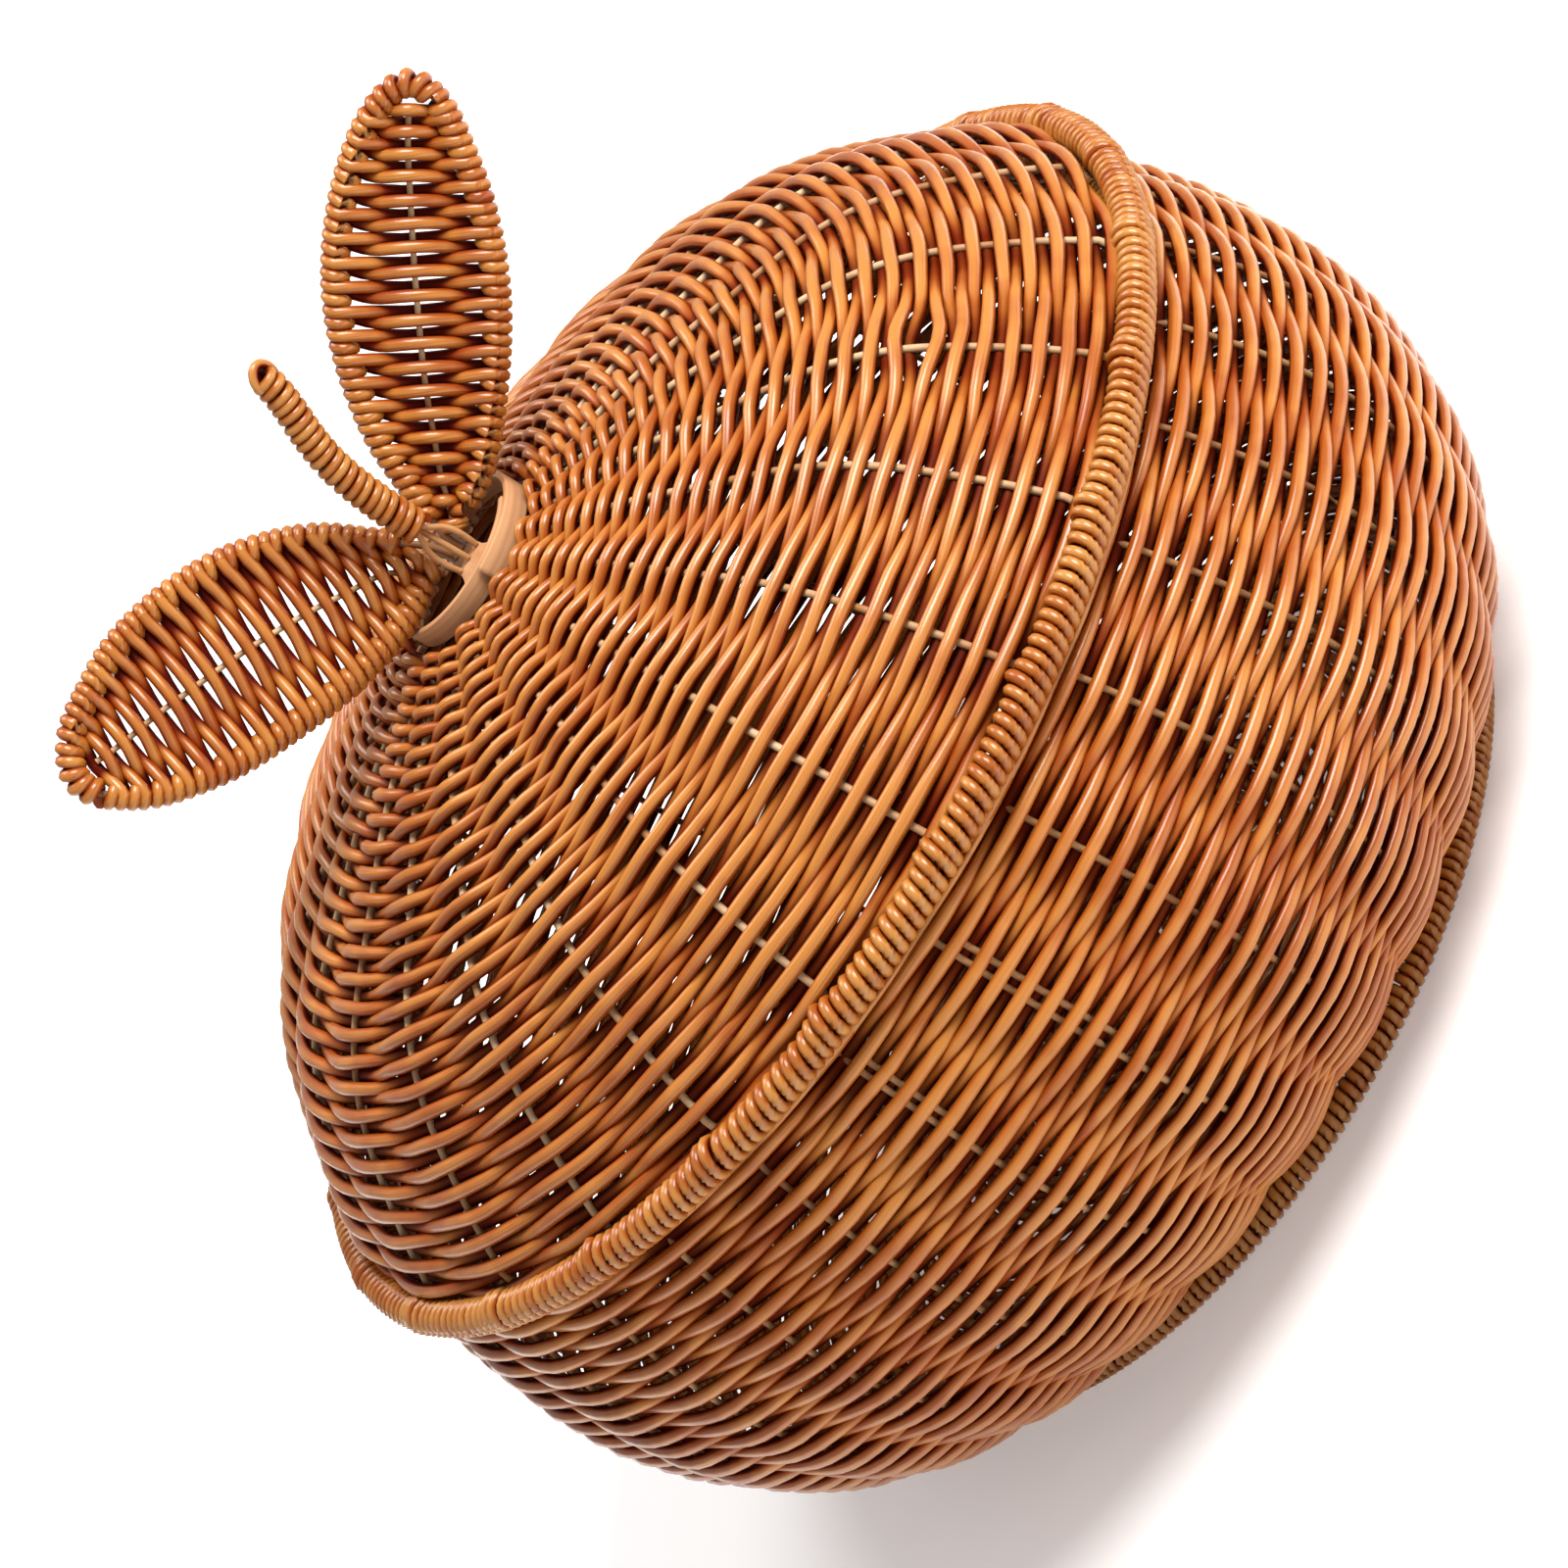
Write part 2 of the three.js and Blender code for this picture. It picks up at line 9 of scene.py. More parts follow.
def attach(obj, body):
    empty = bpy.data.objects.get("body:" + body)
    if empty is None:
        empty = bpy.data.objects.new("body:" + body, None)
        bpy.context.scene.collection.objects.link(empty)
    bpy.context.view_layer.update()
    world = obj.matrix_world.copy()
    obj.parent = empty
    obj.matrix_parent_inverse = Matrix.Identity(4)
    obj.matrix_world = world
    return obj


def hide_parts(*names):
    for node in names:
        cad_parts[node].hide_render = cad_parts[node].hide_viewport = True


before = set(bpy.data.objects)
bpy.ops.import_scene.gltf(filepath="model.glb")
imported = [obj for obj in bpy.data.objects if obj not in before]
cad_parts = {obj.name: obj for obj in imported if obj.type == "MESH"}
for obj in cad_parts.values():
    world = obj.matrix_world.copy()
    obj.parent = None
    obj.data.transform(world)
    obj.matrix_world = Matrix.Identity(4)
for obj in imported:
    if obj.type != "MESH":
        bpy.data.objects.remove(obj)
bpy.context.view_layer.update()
scene = bpy.context.scene
scene.view_settings.view_transform = "Standard"  # the photo's white and full oranges
mm = 0.001

viewSettings = {  # millimetres and degrees
    "target": (0, 0, 127.8), "distance": 1700, "rise": 20.845,
    "roll": -0.194, "pan": -0.247, "tilt": -0.64, "frameTurn": 60.5,
    "lens": 179.955, "sensor": 36,
}


def addObject(name, data):
    thing = bpy.data.objects.new(name, data)
    scene.collection.objects.link(thing)
    return thing


def makeCamera(s):
    rise = math.radians(s["rise"])
    target = Vector(s["target"]) * mm
    place = target + s["distance"] * mm * Vector((0, -math.cos(rise), math.sin(rise)))
    forward = (target - place).normalized()
    right = Vector((1, 0, 0))
    up = right.cross(forward)
    forward = (forward + math.tan(math.radians(s["pan"])) * right
               + math.tan(math.radians(s["tilt"])) * up).normalized()
    right = forward.cross(Vector((0, 0, 1))).normalized()
    up = right.cross(forward)
    turn = math.radians(s["roll"]) + math.radians(s["frameTurn"])
    right, up = (right * math.cos(turn) - up * math.sin(turn),
                 right * math.sin(turn) + up * math.cos(turn))
    data = bpy.data.cameras.new("photoCamera")
    data.lens, data.sensor_width = s["lens"], s["sensor"]
    data.sensor_fit = "HORIZONTAL"
    data.clip_start, data.clip_end = 0.05, 60
    camera = addObject("photoCamera", data)
    camera.matrix_world = Matrix((
        (right.x, up.x, -forward.x, place.x), (right.y, up.y, -forward.y, place.y),
        (right.z, up.z, -forward.z, place.z), (0, 0, 0, 1)))
    scene.camera = camera


makeCamera(viewSettings)
print("camera placed")


# A value in a node tree that can be added, scaled and so on like a number
class Field:
    def __init__(self, socket):
        self.socket = socket
        self.tree = socket.id_data

    def isVector(self):
        return self.socket.type in ("VECTOR", "RGBA")

    def calc(self, operation, *others, kind="ShaderNodeMath"):
        node = self.tree.nodes.new(kind)
        node.operation = operation
        for place, value in zip(node.inputs, (self, *others)):
            feed(place, value)
        return Field(node.outputs[0])

    def vector(self, operation, *others):
        return self.calc(operation, *others, kind="ShaderNodeVectorMath")

    def within(self, low, high):
        return self.calc("MAXIMUM", low).calc("MINIMUM", high)

    # The next node for a geometry, which is its first input
    def then(self, kind, feeds=None, label=None, **settings):
        node = put(self.tree, kind, feeds, **settings)
        feed(node.inputs[0], self)
        return take(node, label)

    # 1 where the value is 0, and falling to both sides
    def bell(self):
        return self.calc("POWER", 2.0).calc("MULTIPLY", -1.0).calc("EXPONENT")

    def __add__(self, other):
        return self.vector("ADD", other) if self.isVector() else self.calc("ADD", other)

    __radd__ = __add__

    def __sub__(self, other):
        return self.vector("SUBTRACT", other) if self.isVector() else self.calc("SUBTRACT", other)

    def __mul__(self, other):
        if not self.isVector():
            if isinstance(other, Field) and other.isVector():
                return other * self
            return self.calc("MULTIPLY", other)
        node = self.tree.nodes.new("ShaderNodeVectorMath")
        node.operation = "SCALE"
        feed(node.inputs[0], self)
        feed(node.inputs["Scale"], other)
        return Field(node.outputs[0])

    def __truediv__(self, other):
        return self.calc("DIVIDE", other)


def feed(place, value):
    if isinstance(value, Field):
        place.id_data.links.new(value.socket, place)
    else:
        place.default_value = value


def put(tree, kind, feeds=None, **settings):
    node = tree.nodes.new(kind)
    for key, value in settings.items():
        setattr(node, key, value)
    for label, value in (feeds or {}).items():
        feed(next(s for s in node.inputs if s.name == label and s.enabled), value)
    return node


def take(node, label=None):
    return Field(next(s for s in node.outputs if s.enabled and label in (None, s.name)))


def add(tree, kind, feeds=None, label=None, **settings):
    return take(put(tree, kind, feeds, **settings), label)


def newTree(name, kind, inputs, outputs):
    tree = bpy.data.node_groups.new(name, kind)
    for way, sockets in (("INPUT", inputs), ("OUTPUT", outputs)):
        for label, form in sockets.items():
            tree.interface.new_socket(label, in_out=way, socket_type="NodeSocket" + form)
    start = tree.nodes.new("NodeGroupInput")
    return tree, {s.name: Field(s) for s in start.outputs if s.name}, tree.nodes.new("NodeGroupOutput")


def combine(tree, x, y, z):
    return add(tree, "ShaderNodeCombineXYZ", {"X": x, "Y": y, "Z": z})


def noise(tree, place, scale, detail=0.0, output=None):
    return add(tree, "ShaderNodeTexNoise", {"Vector": place, "Scale": scale, "Detail": detail}, output)


def blend(tree, factor, first, second):
    return add(tree, "ShaderNodeMix", {"Factor": factor, "A": first, "B": second}, "Result",
               data_type="RGBA")


def readPoint(tree, name, output="Fac"):
    return add(tree, "ShaderNodeAttribute", label=output, attribute_name=name)


def objectPlace(tree, output="Object"):
    return add(tree, "ShaderNodeTexCoord", label=output)


# An attribute of a line's points, read at a place counted in points
def readLine(line, attribute, place, form="FLOAT_VECTOR"):
    tree = line.tree
    if attribute == "position":
        value = add(tree, "GeometryNodeInputPosition")
    else:
        value = add(tree, "GeometryNodeInputNamedAttribute", {"Name": attribute}, "Attribute",
                    data_type=form)
    low = place.calc("FLOOR")
    both = [line.then("GeometryNodeSampleIndex", {"Value": value, "Index": index}, data_type=form,
                      domain="POINT", clamp=True) for index in (low, low + 1)]
    return both[0] + (both[1] - both[0]) * (place - low)


def countPoints(line):
    return line.then("GeometryNodeAttributeDomainSize", label="Point Count")


def blankStrand(tree, count):
    line = add(tree, "GeometryNodeCurvePrimitiveLine", {"End": (0.0, 0.0, 1.0)})
    return line.then("GeometryNodeResampleCurve", {"Count": count}, mode="COUNT")


def store(geometry, name, value, form="FLOAT"):
    return geometry.then("GeometryNodeStoreNamedAttribute", {"Name": name, "Value": value},
                         data_type=form, domain="POINT")


# Every tree ends here: the line becomes a round strand that knows its own grain
def finishStrand(given, end, strand, scale=None):
    tree = strand.tree
    strand = strand.then("GeometryNodeSetCurveNormal", mode="Z_UP")
    strand = store(strand, "along", add(tree, "GeometryNodeSplineParameter", label="Length"))
    circle = add(tree, "GeometryNodeCurvePrimitiveCircle", {
        "Resolution": given["Sides"], "Radius": given["Strand Thickness"] * 0.5}, mode="RADIUS")
    spot = add(tree, "GeometryNodeInputPosition")
    circle = store(circle, "ring", spot.vector("NORMALIZE"), "FLOAT_VECTOR")
    feeds = {"Profile Curve": circle, "Fill Caps": True}
    if scale is not None:
        feeds["Scale"] = scale
    mesh = strand.then("GeometryNodeCurveToMesh", feeds).then("GeometryNodeSetShadeSmooth")
    mesh = mesh.then("GeometryNodeRealizeInstances")
    feed(end.inputs[0], mesh.then("GeometryNodeSetMaterial", {"Material": given["Material"]}))


strandInputs = {"Strand Thickness": "Float", "Sides": "Int", "Wander": "Float", "Seed": "Float",
                "Material": "Material"}
shapeOutput = {"Geometry": "Geometry"}


weaveLook = {  # noise runs on a circle that climbs with each turn; the parting's width is in radians
    "circle": 4.0, "climb": 1.3, "quickScale": 2.6, "quickShare": 0.6, "leanScale": 1.8,
    "leanShare": 0.5, "partingWidth": 0.07, "partingFade": 0.45,
    "thinnestShare": 0.3,
}


# One strand that goes round and round, over and under the stakes. An odd number of stakes
# makes it change sides from one row to the next. The parting pushes the rows apart at one place.
def makeWeaveTree(look):
    tree, given, end = newTree("wovenWall", "GeometryNodeTree", {
        "Geometry": "Geometry", "Stakes": "Int", "Steps per Stake": "Int", "Start Angle": "Float",
        "Swing": "Float", "Pinch": "Float", "Parting Angle": "Float", "Parting Row": "Float",
        "Parting Reach": "Float", **strandInputs}, shapeOutput)
    line = given["Geometry"]
    perTurn = given["Stakes"] * given["Steps per Stake"]
    strand = blankStrand(tree, (countPoints(line) - 1) * perTurn + 1)
    turns = add(tree, "GeometryNodeInputIndex") / perTurn
    angle = turns * (2 * math.pi)
    wave = (turns * given["Stakes"] * math.pi).calc("COSINE")
    spot = combine(tree, angle.calc("COSINE") * look["circle"], angle.calc("SINE") * look["circle"],
                   turns * look["climb"] + given["Seed"])
    slow, quick, lean = ((noise(tree, spot + away, scale) - 0.5) * 2.0 for away, scale in (
        ((0.0, 0.0, 0.0), 1.0), ((9.0, 4.0, 2.0), look["quickScale"]),
        ((3.0, 7.0, 5.0), look["leanScale"])))
    shift = (slow + quick * look["quickShare"]) * given["Wander"]
    fromParting = (angle + given["Start Angle"] - given["Parting Angle"]).calc(
        "WRAP", math.pi, -math.pi) / look["partingWidth"]
    rowsAway = turns - given["Parting Row"]
    fade = (fromParting.calc("POWER", 2.0)
            + rowsAway.calc("ABSOLUTE") * look["partingFade"]).calc("MULTIPLY", -1.0)
    shift = shift + rowsAway.calc("SIGN") * fade.calc("EXPONENT") * given["Parting Reach"]
    outward = readLine(line, "outward", turns)
    place = (readLine(line, "position", turns)
             + outward * (wave * given["Swing"] + lean * given["Wander"] * look["leanShare"])
             + readLine(line, "alongWall", turns) * shift)
    turned, face = (add(tree, "ShaderNodeVectorRotate", {
        "Vector": vector, "Angle": angle + given["Start Angle"]}, rotation_type="Z_AXIS")
                    for vector in (place, outward))
    strand = store(strand, "face", face, "FLOAT_VECTOR")
    strand = strand.then("GeometryNodeSetPosition", {"Position": turned})
    strand = store(strand, "row", turns)
    strand = store(strand, "proud", wave)
    swell = wave * wave * given["Pinch"] + given["Pinch"] * -1.0 + 1.0
    finishStrand(given, end, strand, readLine(line, "girth", turns, "FLOAT") * swell)
    return tree


wrapLook = {  # the ties stand out most at the front, which is the middle of the spine
    "unevenScale": 0.9, "swellScale": 0.35, "swellShare": 0.1, "frontWidth": 3.6, "frontShare": 0.65,
    "tieSpread": 0.45,
}


# Strand wound round a spine. The spine's outward and upward vectors set the size of the turns,
# so they can taper or be flat. Ties are places where the turns stand proud.
def makeWrapTree(look):
    tree, given, end = newTree("woundSpine", "GeometryNodeTree", {
        "Geometry": "Geometry", "Turns": "Float", "Steps per Turn": "Int", "Wrap Radius": "Float",
        "Ties": "Int", "Tie Place": "Float", "Tie Width": "Float", "Tie Rise": "Float",
        "Slant": "Float", **strandInputs}, shapeOutput)
    line = given["Geometry"]
    count = (given["Turns"] * given["Steps per Turn"]).calc("ROUND") + 1
    strand = blankStrand(tree, count)
    share = add(tree, "GeometryNodeInputIndex") / (count - 1)
    turns = share * given["Turns"]
    angle = turns * (2 * math.pi)
    rise = angle.calc("SINE")
    places = (combine(tree, turns * look[name], given["Seed"] + shift, 0.0)
              for name, shift in (("unevenScale", 0.0), ("swellScale", 8.0)))
    uneven, swell = ((noise(tree, place, 1.0) - 0.5) * given["Wander"] for place in places)
    spot = share + (uneven + rise * given["Slant"]) / given["Turns"]
    place = spot.within(0.0, 1.0) * (countPoints(line) - 1)
    fromTie = (share * given["Ties"] + given["Tie Place"] + 0.5).calc("FRACT") - 0.5
    tie = (fromTie / given["Tie Width"]).bell()
    reach = given["Wrap Radius"] * (swell * look["swellShare"] + 1.0)
    front = ((share - 0.5) * look["frontWidth"]).bell()
    proud = tie * given["Tie Rise"] * (front * look["frontShare"] + (1.0 - look["frontShare"]))
    spread = reach + proud * look["tieSpread"]
    lift = rise * reach + proud * (rise * 0.5 + 0.5)
    outward, upward = readLine(line, "outward", place), readLine(line, "upward", place)
    at = readLine(line, "position", place) + outward * (angle.calc("COSINE") * spread) + upward * lift
    face = (outward * angle.calc("COSINE") + upward * rise).vector("NORMALIZE")
    strand = store(strand, "face", face, "FLOAT_VECTOR")
    strand = strand.then("GeometryNodeSetPosition", {"Position": at})
    strand = store(strand, "row", turns)
    strand = store(strand, "proud", 1.0)
    finishStrand(given, end, strand)
    return tree


leafLook = {  # turns round a wire; the others are counted in passes, and the slip in shares of one
    "edgeTurns": 1.5, "slipReach": 0.16, "unevenScale": 1.7, "startGap": 0.3, "bothGaps": 1.4,
    "behindSharpness": 1.7,
}


# The strand of a leaf: over one wire, under the rib and over the other wire, one and a half
# times round that wire, and back on the other side. The next pass lies close at the rib, drifts
# apart half way, and meets its other neighbour at the wires.
def makeLeafTree(look):
    tree, given, end = newTree("wovenLeaf", "GeometryNodeTree", {
        "Geometry": "Geometry", "Passes": "Int", "Cross Steps": "Int", "Edge Steps": "Int",
        "Swing": "Float", "Edge Swing": "Float", "Drift": "Float", "Edge Drift": "Float",
        **strandInputs}, shapeOutput)
    line = given["Geometry"]
    perPass = given["Cross Steps"] + given["Edge Steps"]
    strand = blankStrand(tree, given["Passes"] * perPass + 1)
    index = add(tree, "GeometryNodeInputIndex") + 0.0
    number = (index / perPass + 0.0001).calc("FLOOR")  # a little over, against rounding down
    local = index - number * perPass
    across = (local / given["Cross Steps"]).calc("MINIMUM", 1.0)
    turns = ((local - given["Cross Steps"]) / given["Edge Steps"]).calc("MAXIMUM", 0.0)
    turns = turns * look["edgeTurns"]
    side = (number.calc("FLOORED_MODULO", 2.0) * -2.0) + 1.0
    rear = side * -0.5 + 0.5
    wave = (across * (2 * math.pi)).calc("COSINE")
    middle = (given["Edge Drift"] - given["Drift"]) * 0.5
    drift = side * (wave * (given["Edge Drift"] + given["Drift"]) * 0.5 + middle)
    slip = (across / look["slipReach"]).bell() * rear
    uneven = noise(tree, combine(tree, index / perPass * look["unevenScale"], given["Seed"], 0.0), 1.0)
    uneven = (uneven - 0.5) * given["Wander"]
    place = number + drift + slip * turns.calc("LESS_THAN", 0.001) + turns + uneven
    place = (place + look["startGap"]) / (given["Passes"] + look["bothGaps"]) * (countPoints(line) - 1)
    left, right, front, leftOut, rightOut = (readLine(line, name, place) for name in (
        "leftWire", "rightWire", "frontWay", "leftOut", "rightOut"))
    over = wave * side * given["Swing"]
    crossing = left + (right - left) * ((across - 0.5) * side + 0.5) + front * over
    turn = turns * (2 * math.pi)
    onRight = side * 0.5 + 0.5
    wire = left + (right - left) * onRight
    out = leftOut + (rightOut - leftOut) * onRight
    swing = given["Edge Swing"] * side
    edge = wire + out * (turn.calc("SINE") * given["Edge Swing"]) + front * (turn.calc("COSINE") * swing)
    onEdge = turns.calc("GREATER_THAN", 0.0)
    at = crossing + (edge - crossing) * onEdge
    turned = out * turn.calc("SINE") + front * (turn.calc("COSINE") * side)
    flat = front * side
    strand = store(strand, "face", flat + (turned - flat) * onEdge, "FLOAT_VECTOR")
    strand = strand.then("GeometryNodeSetPosition", {"Position": at})
    strand = store(strand, "row", number)
    proud = (wave * look["behindSharpness"]).within(-1.0, 1.0)
    strand = store(strand, "proud", proud * (onEdge * -1.0 + 1.0) + onEdge)
    finishStrand(given, end, strand)
    return tree


# Moves points by a slow noise, so that no wire is quite straight
def drifted(given, geometry, spot, scale):
    tree = geometry.tree
    drift = noise(tree, spot + combine(tree, given["Seed"], 0.0, 0.0), scale, output="Color")
    offset = (drift + (-0.5, -0.5, -0.5)) * given["Wander"]
    return geometry.then("GeometryNodeSetPosition", {"Offset": offset})


# The same line repeated round the basket's axis, as round wire
def makeStakeTree(driftScale):
    tree, given, end = newTree("stakesAround", "GeometryNodeTree", {
        "Geometry": "Geometry", "Count": "Int", "Start Angle": "Float", **strandInputs}, shapeOutput)
    stake = given["Geometry"].then("GeometryNodeMeshToCurve")
    points = add(tree, "GeometryNodePoints", {"Count": given["Count"]})
    index = add(tree, "GeometryNodeInputIndex") + 0.0
    angle = index / given["Count"] * (2 * math.pi) + given["Start Angle"]
    stakes = add(tree, "GeometryNodeInstanceOnPoints", {
        "Points": points, "Instance": stake, "Rotation": combine(tree, 0.0, 0.0, angle)})
    stakes = stakes.then("GeometryNodeRealizeInstances")
    spot = add(tree, "GeometryNodeInputPosition")
    finishStrand(given, end, drifted(given, stakes, spot, driftScale))
    return tree


# One bent wire or strand along a line, whose outer side faces away from a centre
def makeWireTree(driftScale):
    tree, given, end = newTree("bentWire", "GeometryNodeTree", {
        "Geometry": "Geometry", "Center": "Vector", **strandInputs}, shapeOutput)
    wire = given["Geometry"].then("GeometryNodeMeshToCurve")
    spot = add(tree, "GeometryNodeInputPosition")
    wire = store(wire, "face", (spot - given["Center"]).vector("NORMALIZE"), "FLOAT_VECTOR")
    wire = store(wire, "proud", 1.0)
    finishStrand(given, end, drifted(given, wire, spot, driftScale))
    return tree


weaveTree, wrapTree = makeWeaveTree(weaveLook), makeWrapTree(wrapLook)
leafTree, stakeTree, wireTree = makeLeafTree(leafLook), makeStakeTree(14.0), makeWireTree(60.0)
print("node trees built")


toneLook = {  # how much each mask adds to a tone's share of the colour
    "shares": {"Amber": {"crest": -1.7, "patch": 2.2, "fine": 2.4},
               "Russet": {"paintedShade": 1.6, "fine": 0.9, "own": 0.7}, "Maroon": {"paintedShade": 3.0}},
    "starts": {"Amber": 1.85, "Russet": -0.192, "Maroon": -1.5},
    "sideSharpness": 3.0, "hollowSide": -0.5, "hollowCrest": 0.42, "unshadedFade": -2.0,
    "ownAlong": 9.0, "ownRow": 0.9, "fineAlong": 70.0, "fineRow": 2.3,
}


# Colour of one strand: honey on its crest and amber down its sides, which is painted light and shade,
# mixed with random patches of amber and russet; then painted shade in russet and deep maroon where
# it dips into the weave's recesses, on either face. The second output is 1 outside that painted shade.
def makeToneGroup(look):
    tree, given, end = newTree("strandTone", "ShaderNodeTree", {
        "Honey": "Color", "Amber": "Color", "Russet": "Color", "Maroon": "Color",
        "Patch Size": "Float", "Hollow Start": "Float", "Hollow Shade": "Float"},
        {"Color": "Color", "Unshaded": "Float"})
    row, along, proud = (readPoint(tree, name) for name in ("row", "along", "proud"))
    facing = add(tree, "ShaderNodeVectorMath", {"Vector": readPoint(tree, "face", "Vector")}, "Value",
                 operation="DOT_PRODUCT")
    feed(facing.socket.node.inputs[1], objectPlace(tree, "Normal"))
    # crest is 1 on the strand's outward and inward faces and 0 on its sides: the Amber share it drives
    # is painted shade down the sides
    crest = facing.calc("ABSOLUTE")
    outer = (facing * look["sideSharpness"]).within(-1.0, 1.0)
    # the next mask is painted shade: strong where a strand's face turns in behind a stake or the rib,
    # and down its sides
    paintedShade = (outer * proud * look["hollowSide"] - crest * look["hollowCrest"]
              + given["Hollow Start"]).calc("MAXIMUM", 0.0)
    own = combine(tree, along * look["ownAlong"], row * look["ownRow"], 0.0)
    fine = combine(tree, along * look["fineAlong"], row * look["fineRow"], 4.0)
    masks = {"crest": crest, "paintedShade": paintedShade, "own": noise(tree, own, 1.0, 1.0) - 0.5,
             "patch": noise(tree, objectPlace(tree), given["Patch Size"], 2.0) - 0.5,
             "fine": noise(tree, fine, 1.0, 2.0) - 0.5}
    color = given["Honey"]
    for tone, shares in look["shares"].items():
        factor = sum((masks[name] * share for name, share in shares.items()), look["starts"][tone])
        factor = factor.within(0.0, 1.0)
        if tone == "Maroon":
            factor = factor * given["Hollow Shade"]
        color = blend(tree, factor, color, given[tone])
    feed(end.inputs["Color"], color)
    # 1 outside the painted shade and 0 deep in it; it sets the coat, so the painted recesses lose their
    # gloss too
    feed(end.inputs["Unshaded"], (paintedShade * look["unshadedFade"] + 1.0).calc("MAXIMUM", 0.0))
    return tree


# Fine grooves that run along the strand
def makeGrainGroup(rowShift):
    tree, given, end = newTree("strandGrain", "ShaderNodeTree", {
        "Grooves": "Float", "Stretch": "Float"}, {"Height": "Float"})
    row, along = readPoint(tree, "row"), readPoint(tree, "along")
    spot = (readPoint(tree, "ring", "Vector") * given["Grooves"]
            + combine(tree, row * rowShift, 0.0, along * given["Stretch"]))
    feed(end.inputs["Height"], noise(tree, spot, 1.0, 3.0))
    return tree


toneGroup, grainGroup = makeToneGroup(toneLook), makeGrainGroup(3.7)


def newMaterial(name, roughness, **plain):
    material = bpy.data.materials.new(name)
    material.use_nodes = True
    tree = material.node_tree
    shader = tree.nodes["Principled BSDF"]
    shader.inputs["Roughness"].default_value = roughness
    for label, value in plain.items():
        shader.inputs[label.replace("_", " ")].default_value = value
    return material, tree, shader


def addBump(tree, shader, height, strength, distance):
    bump = put(tree, "ShaderNodeBump", {"Strength": strength, "Distance": distance, "Height": height})
    feed(shader.inputs["Normal"], take(bump))


# Amber is partly painted shade on the strands' sides and partly random tone; Russet is partly painted
# shade in the weave's recesses and partly random tone; Maroon is only painted shade there
strandFinishes = {  # linear colours
    "wallStrand": {"Honey": (0.490, 0.180, 0.030, 1), "Amber": (0.34, 0.075, 0.0045, 1),
                   "Russet": (0.21, 0.020, 0.002, 1), "Maroon": (0.055, 0.003, 0.0005, 1),
                   "Patch Size": 16.0, "Hollow Start": 0.62, "Hollow Shade": 0.95},
    "leafStrand": {"Honey": (0.48, 0.180, 0.028, 1), "Amber": (0.29, 0.052, 0.002, 1),
                   "Russet": (0.18, 0.014, 0.002, 1), "Maroon": (0.08, 0.004, 0.001, 1),
                   "Patch Size": 26.0, "Hollow Start": 0.74, "Hollow Shade": 0.8},
    "wrapStrand": {"Honey": (0.48, 0.202, 0.042, 1), "Amber": (0.32, 0.075, 0.004, 1),
                   "Russet": (0.20, 0.022, 0.002, 1), "Maroon": (0.06, 0.004, 0.001, 1),
                   "Patch Size": 24.0, "Hollow Start": 0.92, "Hollow Shade": 0.9},
}


strandGloss = {"coat": 0.95, "coatRoughness": 0.24, "smooth": 0.3, "rough": 0.4, "bump": 0.55,
               "groove": 0.0005, "Grooves": 2.6, "Stretch": 60.0}


def makeStrandMaterial(name, tones, s):
    material, tree, shader = newMaterial(name, 0.5, IOR=1.45, Specular_IOR_Level=0.07,
                                         Coat_Roughness=s["coatRoughness"])
    tone = put(tree, "ShaderNodeGroup", tones, node_tree=toneGroup)
    grain = put(tree, "ShaderNodeGroup", {label: s[label] for label in ("Grooves", "Stretch")},
                node_tree=grainGroup)
    feed(shader.inputs["Base Color"], take(tone, "Color"))
    feed(shader.inputs["Roughness"], take(grain, "Height") * s["rough"] + s["smooth"])
    # the coat follows the tone group's second output, so it is held back where shade is painted
    feed(shader.inputs["Coat Weight"], take(tone, "Unshaded") * s["coat"])
    addBump(tree, shader, take(grain, "Height"), s["bump"], s["groove"])
    return material


materials = {name: makeStrandMaterial(name, tones, strandGloss)
             for name, tones in strandFinishes.items()}
wireFinishes = {  # linear colours, light and worn, and how metallic
    "creamWire": ((0.68, 0.45, 0.25, 1), (0.36, 0.14, 0.04, 1), 0.0),
    # tanWire is a darker copy of the cream wire; on the bowl's stakes it is painted shade
    "tanWire": ((0.52, 0.27, 0.11, 1), (0.26, 0.085, 0.022, 1), 0.0),
    "brownWire": ((0.30, 0.135, 0.055, 1), (0.15, 0.055, 0.02, 1), 0.0),
    "coatedRod": ((0.26, 0.13, 0.06, 1), (0.16, 0.07, 0.03, 1), 0.3),
}
wireLook = {"speck": 160.0, "specks": 1.2, "stain": 38.0, "stains": 2.6, "worn": 0.45, "smooth": 0.4,
            "rough": 0.2, "dent": 420.0, "bump": 0.2, "dentDepth": 0.0002}


def makeWireMaterial(name, light, dark, metallic, s):
    material, tree, shader = newMaterial(name, 0.5, Specular_IOR_Level=0.3, Metallic=metallic)
    place = objectPlace(tree)
    grain = noise(tree, place, s["speck"], 3.0)
    stains = (noise(tree, place, s["stain"], 1.0) - 0.5) * s["stains"]
    factor = ((grain - 0.5) * s["specks"] + stains + s["worn"]).within(0.0, 1.0)
    feed(shader.inputs["Base Color"], blend(tree, factor, light, dark))
    feed(shader.inputs["Roughness"], grain * s["rough"] + s["smooth"])
    addBump(tree, shader, noise(tree, place, s["dent"], 2.0), s["bump"], s["dentDepth"])
    return material


for name, (light, dark, metallic) in wireFinishes.items():
    materials[name] = makeWireMaterial(name, light, dark, metallic, wireLook)

